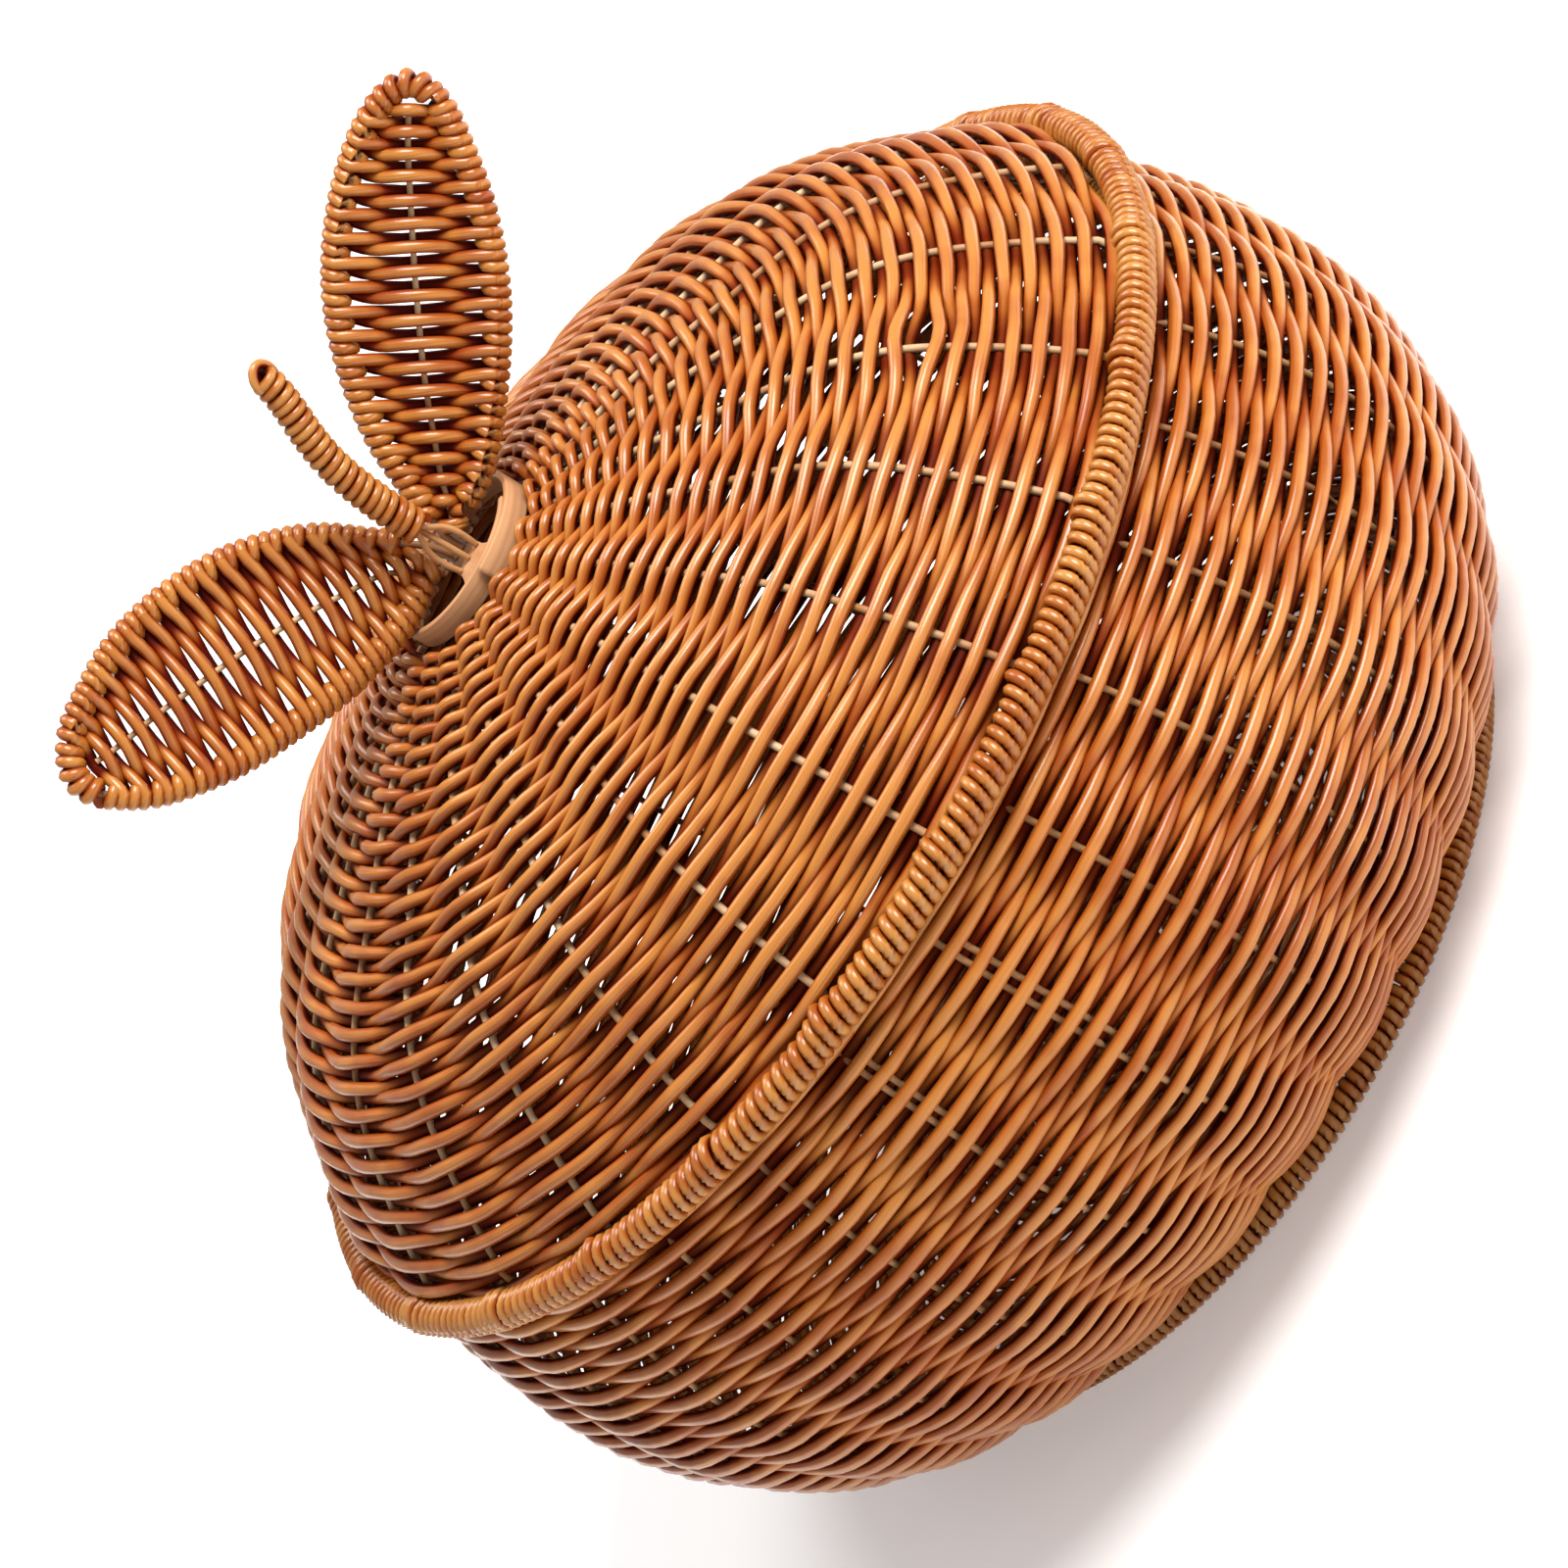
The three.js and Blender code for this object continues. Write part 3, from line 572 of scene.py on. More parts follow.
stripLook = {  # linear colours; the dark one is painted shade on the cross bar, between and behind the stem's wires
    "light": (0.66, 0.37, 0.19, 1), "dark": (0.44, 0.20, 0.085, 1), "warm": (0.50, 0.19, 0.06, 1),
    "barShadow": (0.07, 0.022, 0.008, 1), "barShadowShare": 0.85, "fibre": (22.0, 900.0, 900.0), "fibres": 1.3,
    "stain": (60.0, 200.0, 60.0), "stains": 1.6, "rough": 0.25, "bump": 0.4, "fibreDepth": 0.0003,
}


def makeStripMaterial(s):
    material, tree, shader = newMaterial("caneStrip", 0.62, Specular_IOR_Level=0.15)
    spot = readPoint(tree, "strip", "Vector")
    fibre = noise(tree, spot.vector("MULTIPLY", s["fibre"]), 1.0, 4.0)
    stain = noise(tree, spot.vector("MULTIPLY", s["stain"]), 1.0, 2.0)
    color = blend(tree, (fibre - 0.5) * s["fibres"] + 0.5, s["light"], s["dark"])
    color = blend(tree, (stain - 0.45) * s["stains"], color, s["warm"])
    # painted shade: the bar's top is darkened by its shade attribute, between and behind the stem's
    # wires
    color = blend(tree, readPoint(tree, "shade") * s["barShadowShare"], color, s["barShadow"])
    feed(shader.inputs["Base Color"], color)
    feed(shader.inputs["Roughness"], fibre * s["rough"] + 0.5)
    addBump(tree, shader, fibre, s["bump"], s["fibreDepth"])
    return material


materials["caneStrip"] = makeStripMaterial(stripLook)
print("materials made")


# A smooth line through points, even in length, as a natural cubic
def smoothLine(points, count):
    points = np.array(points, float)
    reach = np.concatenate([[0], np.cumsum(np.linalg.norm(np.diff(points, axis=0), axis=1))])
    gap, last = np.diff(reach), len(points) - 1
    system, right = np.zeros((last + 1, last + 1)), np.zeros_like(points)
    system[0, 0] = system[last, last] = 1
    for i in range(1, last):
        system[i, i - 1:i + 2] = gap[i - 1], 2 * (gap[i - 1] + gap[i]), gap[i]
        right[i] = 6 * ((points[i + 1] - points[i]) / gap[i] - (points[i] - points[i - 1]) / gap[i - 1])
    bend = np.linalg.solve(system, right)
    fine = np.linspace(0, reach[-1], count * 8)
    k = np.clip(np.searchsorted(reach, fine, side="right") - 1, 0, last - 1)
    a, b = ((reach[k + 1] - fine) / gap[k])[:, None], ((fine - reach[k]) / gap[k])[:, None]
    h = gap[k][:, None] ** 2 / 6
    line = a * points[k] + b * points[k + 1] + ((a ** 3 - a) * bend[k] + (b ** 3 - b) * bend[k + 1]) * h
    return evenly(line, np.linspace(0, 1, count))


# Points of a line at shares of its length
def evenly(line, shares):
    reach = np.concatenate([[0], np.cumsum(np.linalg.norm(np.diff(line, axis=0), axis=1))])
    return np.stack([np.interp(np.array(shares) * reach[-1], reach, line[:, i])
                     for i in range(line.shape[1])], axis=1)


def lineLength(line):
    return float(np.linalg.norm(np.diff(line, axis=0), axis=1).sum())


def directions(line):
    way = np.gradient(line, axis=0)
    return way / np.linalg.norm(way, axis=1)[:, None]


# A mesh of one line of points, which carries vectors or numbers for a node tree to read
def lineMesh(name, points, closed=False, **carried):
    mesh = bpy.data.meshes.new(name)
    edges = [(i, i + 1) for i in range(len(points) - 1)] + ([(len(points) - 1, 0)] if closed else [])
    mesh.from_pydata([tuple(p) for p in points], edges, [])
    for label, values in carried.items():
        values = np.array(values, np.float32)
        form, slot = ("FLOAT_VECTOR", "vector") if values.ndim == 2 else ("FLOAT", "value")
        mesh.attributes.new(label, form, "POINT").data.foreach_set(slot, values.ravel())
    return mesh


# Runs a tree on a line and keeps the result as a plain mesh, which stands in for the nodes
def grow(name, body, nodes, line, tree, material, strand, seed, **values):
    piece = addObject(name, line)
    modifier = piece.modifiers.new(tree.name, "NODES")
    modifier.node_group = tree
    values = {"Sides": 8, "Tie Width": 1, "Strand Thickness": strand * mm, "Seed": seed,
              **{label.replace("_", " "): value for label, value in values.items()},
              "Material": materials[material]}
    for socket in tree.interface.items_tree:
        if socket.in_out != "INPUT" or socket.socket_type == "NodeSocketGeometry":
            continue
        value = values.get(socket.name, 0)
        if socket.socket_type == "NodeSocketInt":
            value = int(value)
        elif socket.socket_type == "NodeSocketFloat":
            value = float(value)
        elif socket.socket_type == "NodeSocketVector":
            value = [float(v) for v in value or (0, 0, 0)]
        modifier[socket.identifier] = value
    graph = bpy.context.evaluated_depsgraph_get()
    mesh = bpy.data.meshes.new_from_object(piece.evaluated_get(graph), preserve_all_data_layers=True,
                                           depsgraph=graph)
    piece.modifiers.clear()
    piece.data = mesh
    mesh.name = piece.name
    settle(piece, body, nodes)


def settle(piece, body, nodes):
    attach(piece, body)
    if nodes:
        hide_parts(*nodes)
    triangles = sum(len(p.vertices) - 2 for p in piece.data.polygons)
    print(f"{piece.name}: {triangles} triangles")


# An outline of [outward, up] in millimetres as points in front of the axis
def inFront(outline):
    outline = np.array(outline, float) * mm
    return np.stack([np.zeros(len(outline)), -outline[:, 0], outline[:, 1]], axis=1)


# The ways out of an outline, whose outside lies on the right of its run, or on the left for -1
def outwardOf(outline, outside):
    way = directions(outline)
    return np.stack([way[:, 1], -way[:, 0]], axis=1) * outside


def movedIn(outline, depth, outside):
    return outline - outwardOf(outline, outside) * depth


# Points round the axis at the given angles, from the front towards the right
def ringPoints(angles, radius, height):
    return np.stack([radius * np.sin(angles), -radius * np.cos(angles), 0 * angles + height], axis=1)


# Places of the rows: each is half of the local two-row pitch after the one before
def rowPlaces(length, first, last, pitchTable):
    places = [first]
    while places[-1] < length - last:
        at = places[-1]
        places.append(at + np.interp(at, [p[0] for p in pitchTable], [p[1] for p in pitchTable]) / 2)
    return np.array(places[:-1] if places[-1] > length - last * 0.5 else places)


def weaveWall(name, body, node, outline, outside, s):
    depth = s["stakeDepth"]
    if "endDepth" in s:
        toEnd = np.linspace(lineLength(outline), 0, len(outline))[:, None]
        depth = np.interp(toEnd, (0, s["endReach"]), (s["endDepth"], depth))
    stakeLine = movedIn(outline, depth, outside)
    length = lineLength(stakeLine)
    places = rowPlaces(length, s["firstRow"], s["lastRow"], s["pitchTable"])
    if "lead" in s:
        stakeLine = np.vstack([[s["lead"]], stakeLine])
        places = places + lineLength(stakeLine) - length
        length = lineLength(stakeLine)
    rows = evenly(stakeLine, places / length)
    way = directions(rows)
    normal = outwardOf(rows, outside)
    pitch = np.gradient(places)
    thin = weaveLook["thinnestShare"]
    girth = np.minimum(1, thin + (1 - thin) * pitch / s["fullPitch"])
    print(f"{name}: {len(rows)} rows over {length:.1f} mm")
    carried = {"outward": inFront(normal) / mm, "alongWall": inFront(way) / mm, "girth": girth}
    start = s["turn"] + s["startStake"] * 360 / s["stakes"]
    grow(name, body, [node], lineMesh(name, inFront(rows), **carried), weaveTree, "wallStrand",
         s["strand"], s["seed"], Stakes=s["stakes"], Steps_per_Stake=s["steps"],
         Start_Angle=math.radians(start), Swing=s["swing"] * mm, Sides=s["sides"], Pinch=s["pinch"],
         Wander=s["wander"] * mm, Parting_Angle=math.radians(s.get("partingAngle", 0)),
         Parting_Row=s.get("partingRow", -100), Parting_Reach=s.get("partingReach", 0) * mm)


bowlSettings = {  # millimetres and degrees; shares run from the rim down to the foot
    "top": 120.8, "foot": 6.817, "rimRadius": 144.7, "bulge": 153, "footRadius": 107.15,
    "dropShares": [0, 0.1255, 0.302, 0.489, 0.656, 0.8016, 0.9157, 1],
    "swellShares": [0, 0.52, 0.976], "tuckShares": [0.991, 0.893, 0.714, 0.45, 0],
    "stakes": 29, "turn": 4.6, "stakeDepth": 3.3, "swing": 1.8, "strand": 3.25, "sides": 8,
    "pinch": 0.1, "steps": 6, "firstRow": -3.15, "lastRow": -1.6, "fullPitch": 2.7,
    "wander": 0.65, "seed": 3.1, "startStake": 15, "lead": (140.2, 122.9),
    "pitchTable": [(0, 5.5), (72, 5.5), (85, 5.1), (95, 4.6), (106, 4.2), (150, 4.2)],
}


def bowlOutline(s):
    outline = []
    for i, drop in enumerate(s["dropShares"]):
        z = s["top"] + (s["foot"] - s["top"]) * drop
        if i < len(s["swellShares"]):
            outline.append((s["rimRadius"] + (s["bulge"] - s["rimRadius"]) * s["swellShares"][i], z))
        else:
            tuck = s["tuckShares"][i - len(s["swellShares"])]
            outline.append((s["footRadius"] + (s["bulge"] - s["footRadius"]) * tuck, z))
    return smoothLine(outline, 240)


bowlLine = bowlOutline(bowlSettings)
weaveWall("bowlStrand", "basket", "bowl_weave", bowlLine, -1, bowlSettings)

floorSettings = {
    "radius": 102.6, "height": 9.617, "crown": 3, "hole": 6, "hubRadius": 4.6, "hubTurns": 1.4,
    "stakes": 29, "turn": 4.6, "stakeDepth": 0, "swing": 1.5, "strand": 2.8, "sides": 6,
    "pinch": 0.1, "steps": 4, "firstRow": -2.2, "lastRow": 1.0, "fullPitch": 2.2, "wander": 0.4,
    "seed": 8.4, "startStake": 0,
    "pitchTable": [(0, 5.4), (60, 5.2), (100, 4.8)],
}


def floorOutline(s):
    radii = np.linspace(s["radius"], s["hole"], 120)
    return np.stack([radii, s["height"] + s["crown"] * (1 - (radii / s["radius"]) ** 2)], axis=1)


floorLine = floorOutline(floorSettings)
weaveWall("floorStrand", "basket", "floor_weave", floorLine, 1, floorSettings)


# The strand's end is coiled up in the middle of the floor
def coilHub(s):
    turn = np.linspace(0, s["hubTurns"] * 2 * math.pi, 90)
    coil = ringPoints(turn, np.linspace(s["hubRadius"], s["strand"] / 2, 90), floorLine[-1][1])
    grow("floorHubStrand", "basket", [], lineMesh("hubLine", coil * mm), wireTree, "wallStrand",
         s["strand"], 1.0, Sides=10, Wander=0.2 * mm, Center=(0, 0, -1))


coilHub(floorSettings)

lidSettings = {
    "start": 132.45, "rise": 63.4, "edgeRadius": 144.2, "topRadius": 21.7,
    "inwardShares": [0, 0.044, 0.115, 0.216, 0.349, 0.521, 0.754, 1],
    "riseShares": [0, 0.128, 0.302, 0.507, 0.675, 0.794, 0.932, 1],
    "stakes": 23, "turn": -0.5, "endDepth": 1.2, "endReach": 24, "stakeDepth": 3.3, "swing": 1.8,
    "strand": 3.25, "sides": 8, "pinch": 0.1, "steps": 8, "firstRow": -2.05, "lastRow": -0.4,
    "fullPitch": 2.7, "wander": 0.65, "seed": 5.7, "startStake": 11, "lead": (139.9, 128.7),
    "partingAngle": 47.5, "partingRow": 14.15, "partingReach": 3.0,
    "pitchTable": [(0, 5.7), (100, 5.7), (112, 5.1), (124, 4.5), (135, 3.9), (146, 3.5)],
}


def lidOutline(s):
    width = s["edgeRadius"] - s["topRadius"]
    outline = [(s["edgeRadius"] - width * inward, s["start"] + s["rise"] * rise)
               for inward, rise in zip(s["inwardShares"], s["riseShares"])]
    return smoothLine(outline, 280)


lidLine = lidOutline(lidSettings)
weaveWall("lidStrand", "lid", "lid_weave", lidLine, 1, lidSettings)
print("walls woven")

hoopSettings = {  # centre-line radius, height, outer radius of the wrap, strand, pitch
    "bowlRimStrand": {"radius": 139.42, "height": 123.52, "outer": 3.2, "strand": 2.35, "pitch": 2.5,
                      "steps": 10, "sides": 6, "node": "bowl_rim_wrap", "body": "basket", "seed": 1.3},
    "footStrand": {"radius": 105.4, "height": 3.5, "outer": 3.5, "strand": 2.4, "pitch": 2.5,
                   "steps": 12, "sides": 7, "node": "foot_wrap", "body": "basket", "seed": 6.2},
    "lidRimStrand": {"radius": 146, "height": 127.8, "outer": 4.3, "strand": 2.85, "pitch": 2.95,
                     "steps": 16, "sides": 8, "node": "lid_rim_wrap", "body": "lid", "seed": 2.9,
                     "ties": 23, "tieTurn": -0.5, "tieRise": 1.5, "tieWidth": 3.0, "tieShift": 3.5,
                     "slant": 0.16},
}


def wrapHoop(name, s):
    angles = np.linspace(0, 2 * math.pi, 361) + math.pi
    outward = ringPoints(angles, 1.0, 0.0)
    upward = np.tile([0.0, 0.0, 1.0], (361, 1))
    spine = ringPoints(angles, s["radius"], s["height"])
    around = 2 * math.pi * s["radius"]
    ties = s.get("ties", 0)
    # the spine starts at the back, half a turn before the front
    tiePlace = (ties * (0.5 - math.radians(s.get("tieTurn", 0)) / (2 * math.pi))
                + s.get("tieShift", 0) / around * ties)
    grow(name, s["body"], [s["node"]], lineMesh(name, spine * mm, outward=outward, upward=upward),
         wrapTree, "wrapStrand", s["strand"], s["seed"], Turns=round(around / s["pitch"]),
         Steps_per_Turn=s["steps"], Wrap_Radius=(s["outer"] - s["strand"] / 2) * mm,
         Sides=s["sides"], Wander=0.35, Ties=ties, Tie_Place=tiePlace,
         Tie_Width=max(s.get("tieWidth", 0) / around * ties, 0.01),
         Tie_Rise=s.get("tieRise", 0) * mm, Slant=s.get("slant", 0))


for name, s in hoopSettings.items():
    wrapHoop(name, s)


edgeSettings = {
    "bowlEdgeStrand": {"radius": 142.5, "height": 121.7, "strand": 1.8},
    "footEdgeStrand": {"radius": 104.0, "height": 8.5, "strand": 2.9},
}


# One strand lies flat round the top of the bowl, outside all the stakes, and one on the foot's hoop
def layEdge(name, s):
    ring = ringPoints(np.linspace(0, 2 * math.pi, 240, endpoint=False), s["radius"], s["height"])
    grow(name, "basket", [], lineMesh("edgeLine", ring * mm, closed=True), wireTree, "wallStrand",
         s["strand"], 2.0, Sides=10, Wander=0.4 * mm, Center=(0, 0, s["height"] * mm))


for name, s in edgeSettings.items():
    layEdge(name, s)
print("hoops wound")

stakeSettings = {
    "bowlThickness": 1.55, "lidThickness": 1.75, "wander": 0.8,
    "bowlLead": (139.4, 119.9), "lidLead": (140.6, 127.9),
    "doubled": [(-6.6, 116, 73), (-19.1, 118, 92)],  # angle, upper and lower end
}


def standStakes(name, line, thickness, count, turn, seed, body, *nodes):
    # painted shade: the bowl's stakes take the darker tan copy of the lid's cream wire
    wire = "tanWire" if body == "basket" else "creamWire"
    grow(name, body, nodes, lineMesh(name, inFront(line)), stakeTree, wire, thickness, seed,
         Count=count, Start_Angle=math.radians(turn), Wander=stakeSettings["wander"] * mm)


bowlStakeLine = movedIn(bowlLine, bowlSettings["stakeDepth"], -1)[6:-16:6]
bowlStakes = np.vstack([[stakeSettings["bowlLead"]], bowlStakeLine, floorLine[10::6]])
standStakes("bowlStakeWires", smoothLine(bowlStakes, 70), stakeSettings["bowlThickness"],
            bowlSettings["stakes"], bowlSettings["turn"], 4.4, "basket", "bowl_stakes")
lidStakeLine = movedIn(lidLine, lidSettings["stakeDepth"], 1)[3::6]
lidStakes = np.vstack([[stakeSettings["lidLead"]], lidStakeLine])
standStakes("lidStakeWires", smoothLine(lidStakes, 60), stakeSettings["lidThickness"],
            lidSettings["stakes"], lidSettings["turn"], 7.7, "lid", "lid_stakes")
for i, (angle, high, low) in enumerate(stakeSettings["doubled"]):
    doubled = np.array([spot for spot in bowlStakeLine if low < spot[1] < high])
    standStakes(f"doubledStakeWire{i + 1}", doubled, stakeSettings["bowlThickness"], 1, angle, 4.9 + i,
                "basket")
print("stakes set")

leafSettings = {
    "barShift": 1.2, "forward": 3, "barTop": 199.25, "rootRise": 3.2, "lean": 20, "wire": 1.7,
    "bead": 3.1, "wirePitch": 2.05, "footShare": 1.6, "ribTipGap": 6.5, "ribWire": 1.3,
    "footHeight": 199.6, "footRise": 1.7, "tipOverlap": 1.2, "wander": 0.3,
    "stationShares": [0, 0.05, 0.1, 0.18, 0.28, 0.4, 0.52, 0.64, 0.75, 0.84, 0.91, 0.96, 1],
    "strand": 2.85, "firstPass": 3.2, "lastPass": 1.6, "swing": 1.95,
    "edgeSwing": 1.95, "tipGap": 4.4, "drift": 0.25, "edgeDrift": 0.25,
    # the turns round the root: between two heights, growing in size up the rib
    "neckStrand": 2.2, "neckRise": 3.5, "neckOverlap": 1.5, "neckPitch": 2.5, "neckSizes": (2.2, 2.8),
}
leafShapes = {
    "left": {
        "side": -1, "length": 92.5, "width": 44.2, "bow": 7.6, "angle": 27.2, "rootShift": 4.2,
        "halfShares": [0.06, 0.265, 0.51, 0.72, 0.875, 0.975, 1, 0.97, 0.865, 0.71, 0.53, 0.365, 0.135],
        "bowShares": [-0.16, 0.085, 0.49, 0.7, 0.86, 0.97, 1, 0.955, 0.89, 0.78, 0.77, 0.67, 0.46],
        "seed": 2.2, "tipBare": 3.2, "pitch": 2.62,
    },
    "right": {
        "side": 1, "length": 99.2, "width": 40.2, "bow": 5.2, "angle": 35, "rootShift": 3.8,
        "halfShares": [0.09, 0.315, 0.49, 0.68, 0.835, 0.955, 1, 0.955, 0.84, 0.685, 0.515, 0.385,
                       0.205],
        "bowShares": [-0.1, 0.22, 0.42, 0.61, 0.81, 0.94, 1, 1, 0.97, 0.92, 0.81, 0.71, 0.64],
        "seed": 9.1, "tipBare": 0, "pitch": 2.72,
    },
}


def makeLeaf(name, leaf, s):
    side, rise, lean = leaf["side"], math.radians(leaf["angle"]), math.radians(s["lean"])
    along = np.array([side * math.cos(rise), 0, math.sin(rise)])
    across = np.array([-side * math.sin(rise) * math.cos(lean), math.sin(lean),
                       math.cos(rise) * math.cos(lean)])
    front = np.cross(along, across)
    root = np.array([s["barShift"] + side * leaf["rootShift"], -s["forward"],
                     s["barTop"] + s["rootRise"]])
    shares = zip(s["stationShares"], leaf["bowShares"], leaf["halfShares"])
    stations = [(leaf["length"] * share, leaf["bow"] * bow, leaf["width"] / 2 * half)
                for share, bow, half in shares]

    def at(u, v):
        return root + along * u + across * v

    def foot(shift, height):
        return np.array([s["barShift"] + side * s["wirePitch"] * (shift + s["footShare"]),
                         -s["forward"], s["footHeight"] + height])

    framed = stations[2:11]
    edges = [[at(u, mid + sign * (half - s["bead"])) for u, mid, half in framed] for sign in (-1, 1)]
    tip = at(leaf["length"] - s["bead"], stations[-1][1])
    feet = [[foot(shift, height) for height in (0, s["footRise"])] for shift in (1, 0, -1)]
    wire = smoothLine([*feet[0], *edges[0], tip, *edges[1][::-1], *feet[2][::-1]], 400)
    ribbed = [(u, mid) for u, mid, half in stations if u < leaf["length"] - s["ribTipGap"]]
    rib = smoothLine([*feet[1], *[at(u, mid) for u, mid in ribbed[1:]]], 120)

    # the two edge wires and the rib, each in even steps from the root to near the tip
    reach = (wire - root) @ along
    top = int(np.argmax(reach))
    last = leaf["length"] - s["bead"] - s["lastPass"]
    sides, outs = [], []
    for half in (wire[:top + 1], wire[top:][::-1]):
        far = (half - root) @ along
        first = int(np.argmax(far > s["firstPass"]))
        edge = evenly(half[first:int(np.argmax(far > last))], np.linspace(0, 1, 160))
        out = np.cross(directions(edge), front)
        sides.append(edge)
        outs.append(out * np.sign(np.median((edge - np.mean(wire, axis=0)) @ out.T.mean(axis=1))))
    middle = (sides[0] + sides[1]) / 2
    passes = int(round(lineLength(sides[1]) / leaf["pitch"] / 2)) * 2
    carried = {"leftWire": sides[0] * mm, "rightWire": sides[1] * mm, "leftOut": outs[0],
               "rightOut": outs[1], "frontWay": np.tile(front, (160, 1))}
    grow(f"{name}LeafStrand", "lid", [f"{name}_leaf_weave"],
         lineMesh("leafLine", middle * mm, **carried), leafTree, "leafStrand", s["strand"],
         leaf["seed"], Passes=passes, Cross_Steps=18, Edge_Steps=18, Swing=s["swing"] * mm,
         Edge_Swing=s["edgeSwing"] * mm, Drift=s["drift"], Edge_Drift=s["edgeDrift"],
         Wander=s["wander"])

    # turns round the frame wire over the tip
    ends = [int(np.argmin(np.linalg.norm(wire - edge[-1], axis=1))) for edge in sides]
    step = lineLength(wire) / (len(wire) - 1)
    reach = int(round((s["tipGap"] - leaf["tipBare"]) / step))
    start = min(ends) - int(round(s["tipOverlap"] / step))
    arc = evenly(wire[start:max(ends) + 1 + reach], np.linspace(0, 1, 60))
    out = np.cross(directions(arc), front)
    if (out[30] @ along) < 0:
        out = -out
    turns = lineMesh("tipLine", arc * mm, outward=out, upward=np.tile(front, (60, 1)))
    grow(f"{name}LeafTipStrand", "lid", [], turns, wrapTree, "leafStrand", s["strand"],
         leaf["seed"], Steps_per_Turn=14, Turns=round(lineLength(arc) / leaf["pitch"]),
         Wrap_Radius=s["edgeSwing"] * mm, Wander=s["wander"])

    # turns round all the leaf's wires at its root
    stem = evenly(rib, np.linspace(0, 1, 300))
    fromRoot = (stem - root) @ along
    low = int(np.argmax(stem[:, 2] > s["footHeight"] + s["neckRise"]))
    high = int(np.argmax(fromRoot > s["firstPass"] - s["neckOverlap"]))
    neck = evenly(stem[low:max(high, low + 8)], np.linspace(0, 1, 24))
    neckOut = np.cross(directions(neck), front)
    neckOut *= (np.linspace(*s["neckSizes"], 24) / s["swing"] / np.linalg.norm(neckOut, axis=1))[:, None]
    turns = lineMesh("neckLine", neck * mm, outward=neckOut, upward=np.tile(front, (24, 1)))
    grow(f"{name}LeafNeckStrand", "lid", [], turns, wrapTree, "leafStrand", s["neckStrand"],
         leaf["seed"] + 4, Steps_per_Turn=20, Turns=max(2, round(lineLength(neck) / s["neckPitch"])),
         Wrap_Radius=s["swing"] * mm, Wander=s["wander"])
    for label, line, node, size, finish in (("Frame", wire, "frame", s["wire"], "brownWire"),
                                            ("Rib", rib, "rib", s["ribWire"], "creamWire")):
        grow(f"{name}Leaf{label}Wire", "lid", [f"{name}_leaf_{node}"],
             lineMesh(f"{name}{label}", line * mm), wireTree, finish, size, leaf["seed"], Sides=10,
             Wander=0.2 * mm)


for name, leaf in leafShapes.items():
    makeLeaf(name, leaf, leafSettings)
print("leaves woven")

stemSettings = {
    "start": 212.3, "height": 47.4, "shift": 1.2, "lean": 11.7, "depth": -10.41, "foot": 199.6,
    "riseShares": [0, 0.22, 0.53, 0.71, 0.87, 1], "sideShares": [0, 0.06, 0.27, 0.55, 0.84, 1],
    "strand": 2.35, "outer": 4.2, "tipShare": 0.86, "tipThinning": 0.92, "tipCenter": 1.5,
    "turns": 21.5, "wire": 1.4, "wireSpread": 3.3, "bundle": 1.18, "closeReach": 2.4,
    "closeShare": 0.5, "wireWay": np.array([0.2, 0.5, 0.7]),
    # the strand's end over the tip: shares of the radius to the side and the back, and height
    "tipCrossing": [(-0.95, -0.55, -2.6), (-0.95, -0.6, -1.2), (-0.62, -0.5, 0.9), (0.0, -0.25, 2.0),
                    (0.62, 0.1, 1.4), (0.98, 0.35, -0.6), (0.95, 0.5, -2.4)],
}


def makeStem(s):
    path = smoothLine([(s["shift"] + s["lean"] * side, s["depth"], s["start"] + s["height"] * rise)
                       for side, rise in zip(s["sideShares"], s["riseShares"])], 90)
    way = directions(path)
    back = np.tile([0.0, 1.0, 0.0], (len(path), 1))
    side = np.cross(back, way)
    taper = np.linspace(1, s["tipShare"], len(path))
    toTip = np.linspace(lineLength(path), 0, len(path))
    taper = (taper * np.interp(toTip, (0, s["closeReach"]), (s["closeShare"], 1)))[:, None]
    radius = s["outer"] - s["strand"] / 2
    turns = lineMesh("stemLine", path * mm, outward=side * taper, upward=back * taper)
    grow("stemStrand", "lid", ["stem_winding"], turns, wrapTree, "wrapStrand", s["strand"], 3.3,
         Turns=s["turns"], Steps_per_Turn=16, Wrap_Radius=radius * mm, Wander=0.35)
    for i, name in enumerate(("left", "middle", "right")):
        angle = math.pi / 2 + 2 * math.pi * (1 - i) / 3
        foot = np.array([s["shift"] + (i - 1) * s["wireSpread"], s["depth"], s["foot"]])
        inside = path[::6] + s["bundle"] * (side[::6] * math.cos(angle) + back[::6] * math.sin(angle))
        line = smoothLine([foot, foot + (inside[0] - foot) * s["wireWay"], *inside], 80)
        grow(f"{name}StemWire", "lid", [f"{name}_stem_wire"], lineMesh(f"{name}Stem", line * mm),
             wireTree, "tanWire", s["wire"], i, Sides=10, Wander=0.1 * mm)
    # the strand's end crosses the tip and goes back into the turns
    tip, along, across, depth = path[-1], way[-1], side[-1], back[-1]
    r = radius * s["tipShare"]
    crossing = [tip + across * r * x + depth * r * y + along * z for x, y, z in s["tipCrossing"]]
    center = (tip - along * s["tipCenter"] + depth * s["tipCenter"]) * mm
    grow("stemTipStrand", "lid", ["stem_knot"], lineMesh("tipLoop", smoothLine(crossing, 60) * mm),
         wireTree, "wrapStrand", s["strand"] * s["tipThinning"], 0.0, Sides=10, Wander=0.0,
         Center=tuple(center))


makeStem(stemSettings)
print("stem wound")

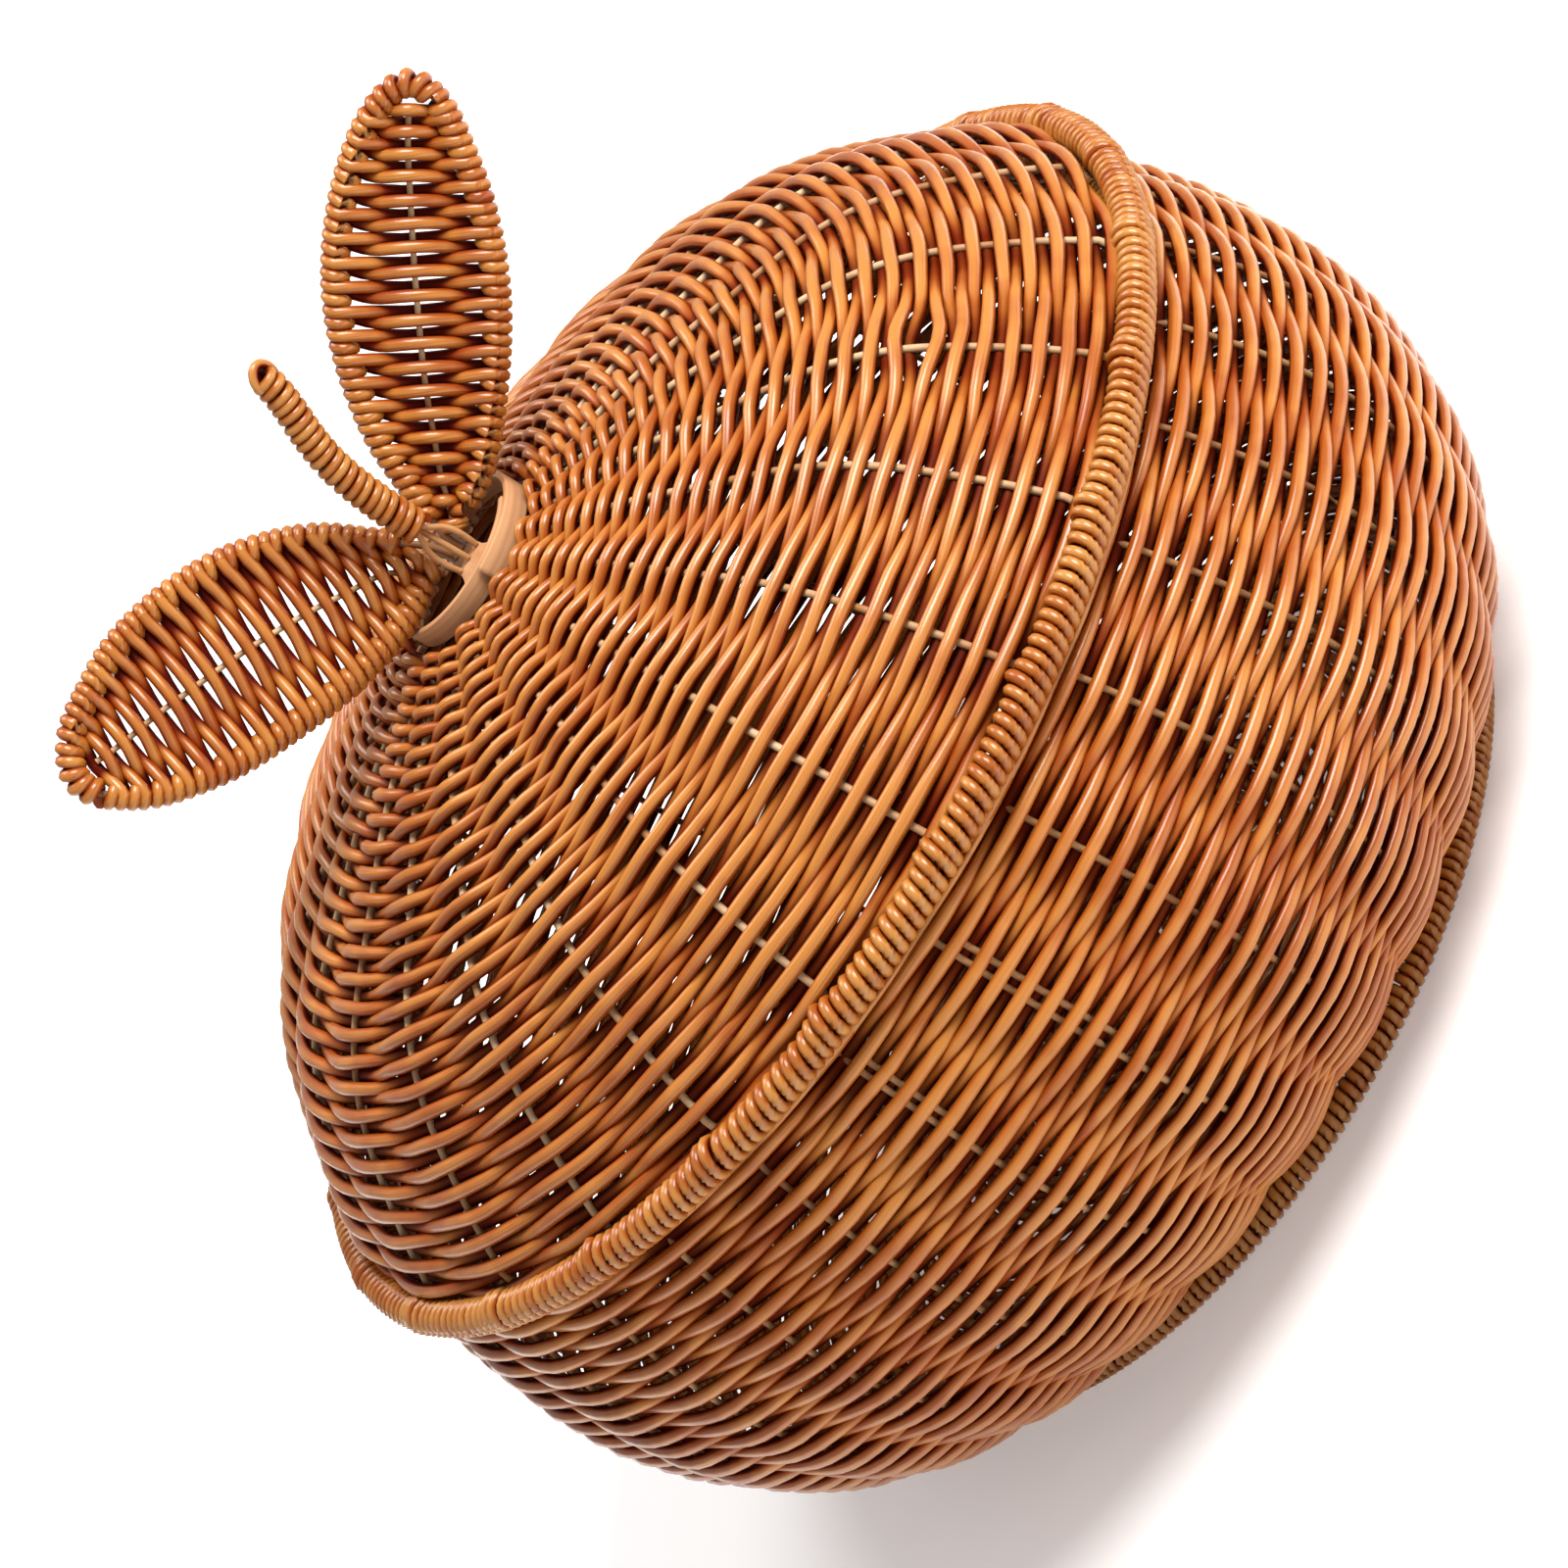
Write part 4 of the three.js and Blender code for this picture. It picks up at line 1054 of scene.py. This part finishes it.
ringSettings = {
    "radius": 21, "top": 199.85, "depth": 5.6, "thickness": 1.5, "lapGap": 0.45, "lap": 60,
    "barLeft": -4.6, "barRight": 7.0, "barTop": 199.25, "barThickness": 1.5, "waist": 4.1,
    "barFront": -16.6, "barBack": 18.0, "waistReach": 7,
    "round": 0.4, "barShade": ((-9.4, -7.6, 13, 16), (0, 1, 1, 0.4)),
}


# A mesh swept through rings of points, with the strip's own directions kept for its fibres
def sweepStrip(name, node, rings, strip, shade=0.0):
    count, sides = len(rings), len(rings[0])
    points = np.array(rings).reshape(-1, 3)
    faces = [(i * sides + k, i * sides + (k + 1) % sides, (i + 1) * sides + (k + 1) % sides,
              (i + 1) * sides + k) for i in range(count - 1) for k in range(sides)]
    faces += [tuple(reversed(range(sides))), tuple(range((count - 1) * sides, count * sides))]
    mesh = bpy.data.meshes.new(name)
    mesh.from_pydata([tuple(p) for p in points * mm], [], faces)
    mesh.attributes.new("strip", "FLOAT_VECTOR", "POINT").data.foreach_set(
        "vector", np.array(strip, np.float32).ravel() * mm)
    mesh.attributes.new("shade", "FLOAT", "POINT").data.foreach_set(
        "value", (np.zeros(len(points)) + shade).astype(np.float32))
    piece = addObject(name, mesh)
    corners = np.array([v.co for v in mesh.vertices])
    fans = [corners[[p.vertices[0], p.vertices[k], p.vertices[k + 1]]]
            for p in mesh.polygons for k in range(1, len(p.vertices) - 1)]
    if np.linalg.det(np.array(fans)).sum() < 0:  # the faces look inwards
        mesh.flip_normals()
    mesh.shade_smooth()
    mesh.materials.append(materials["caneStrip"])
    settle(piece, "lid", [node])


def roundedSection(width, height, corner):
    spots = []
    for cx, cy, start in ((1, 1, 0), (-1, 1, 90), (-1, -1, 180), (1, -1, 270)):
        for step in range(4):
            angle = math.radians(start + step * 30)
            spots.append((cx * (width / 2 - corner) + corner * math.cos(angle),
                          cy * (height / 2 - corner) + corner * math.sin(angle)))
    return spots


def makeRing(s):
    section = roundedSection(s["thickness"], s["depth"], s["round"])
    turns = 1 + s["lap"] / 360
    pitch = s["thickness"] + s["lapGap"]
    rings, strip = [], []
    for share in np.linspace(0, 1, 150):
        angle = 2 * math.pi * turns * share
        radius = s["radius"] - pitch * turns * share - s["thickness"] / 2
        ring = [np.array([(radius + x) * math.sin(angle), -(radius + x) * math.cos(angle),
                          s["top"] - s["depth"] / 2 + y]) for x, y in section]
        rings.append(ring)
        strip += [(radius * angle, x, y) for x, y in section]
    sweepStrip("topRingStrip", "lid_top_ring", rings, strip)


def makeBar(s):
    rings, strip, shade = [], [], []
    middle = (s["barLeft"] + s["barRight"]) / 2
    for y in np.linspace(s["barFront"], s["barBack"], 40):
        near = max(0.0, 1 - (y - s["barFront"]) / s["waistReach"])
        half = s["waist"] + ((s["barRight"] - s["barLeft"]) / 2 - s["waist"]) * near ** 2
        section = roundedSection(2 * half, s["barThickness"], s["round"])
        z = s["barTop"] - s["barThickness"] / 2
        rings.append([np.array([middle + x, y, z + h]) for x, h in section])
        strip += [(y, x, h) for x, h in section]
        # painted shade along the bar, from just behind the stem's wires to near its back end
        shade += [float(np.interp(y, *s["barShade"]))] * len(section)
    sweepStrip("crossBarStrip", "lid_cross_bar", rings, strip, np.array(shade))


makeRing(ringSettings)
makeBar(ringSettings)
for node in ("bowl_rim_rod", "foot_rod", "lid_rim_rod"):
    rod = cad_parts[node]
    rod.data.materials.clear()
    rod.data.materials.append(materials["coatedRod"])
print("ring, bar and rods done")

studioSettings = {
    "world": (1.0, 1.0, 1.0, 1), "worldStrength": 0.42,
    "lights": {  # place and size in metres, power in watts
        "keyLight": {"place": (1.35, -0.85, 1.9), "size": 1.4, "power": 90, "color": (1.0, 0.98, 0.95)},
        "fillLight": {"place": (-1.6, -1.2, 0.9), "size": 1.4, "power": 3, "color": (0.95, 0.97, 1.0)},
        "backLight": {"place": (0.2, 0.9, 2.0), "size": 1.2, "power": 22, "color": (1.0, 1.0, 1.0)},
    },
    "floorSize": 9, "floorHeight": -0.0005, "floorGlow": 0.28,
    "floorLight": (0.90, 0.90, 0.90, 1), "floorDark": (0.87, 0.87, 0.87, 1), "aim": (0, 0, 0.12),
}


def makeStudio(s):
    world = bpy.data.worlds.new("studioWorld")
    scene.world = world
    world.use_nodes = True
    background = world.node_tree.nodes["Background"]
    background.inputs["Color"].default_value = s["world"]
    background.inputs["Strength"].default_value = s["worldStrength"]
    for name, light in s["lights"].items():
        data = bpy.data.lights.new(name, "AREA")
        data.shape, data.size = "DISK", light["size"]
        data.energy, data.color = light["power"], light["color"]
        lamp = addObject(name, data)
        lamp.location = light["place"]
        aim = Vector(s["aim"]) - lamp.location
        lamp.rotation_euler = aim.to_track_quat("-Z", "Y").to_euler()
    material, tree, shader = newMaterial("paleFloor", 0.6, Emission_Color=(1, 1, 1, 1),
                                         Emission_Strength=s["floorGlow"])
    soft = noise(tree, objectPlace(tree), 2.0, 2.0)
    feed(shader.inputs["Base Color"], blend(tree, soft, s["floorLight"], s["floorDark"]))
    half = s["floorSize"] / 2
    mesh = bpy.data.meshes.new("studioFloor")
    corners = [(x * half, y * half, s["floorHeight"]) for x, y in ((-1, -1), (1, -1), (1, 1), (-1, 1))]
    mesh.from_pydata(corners, [], [(0, 1, 2, 3)])
    mesh.materials.append(material)
    floor = addObject("studioFloor", mesh)


makeStudio(studioSettings)
print("studio lit")
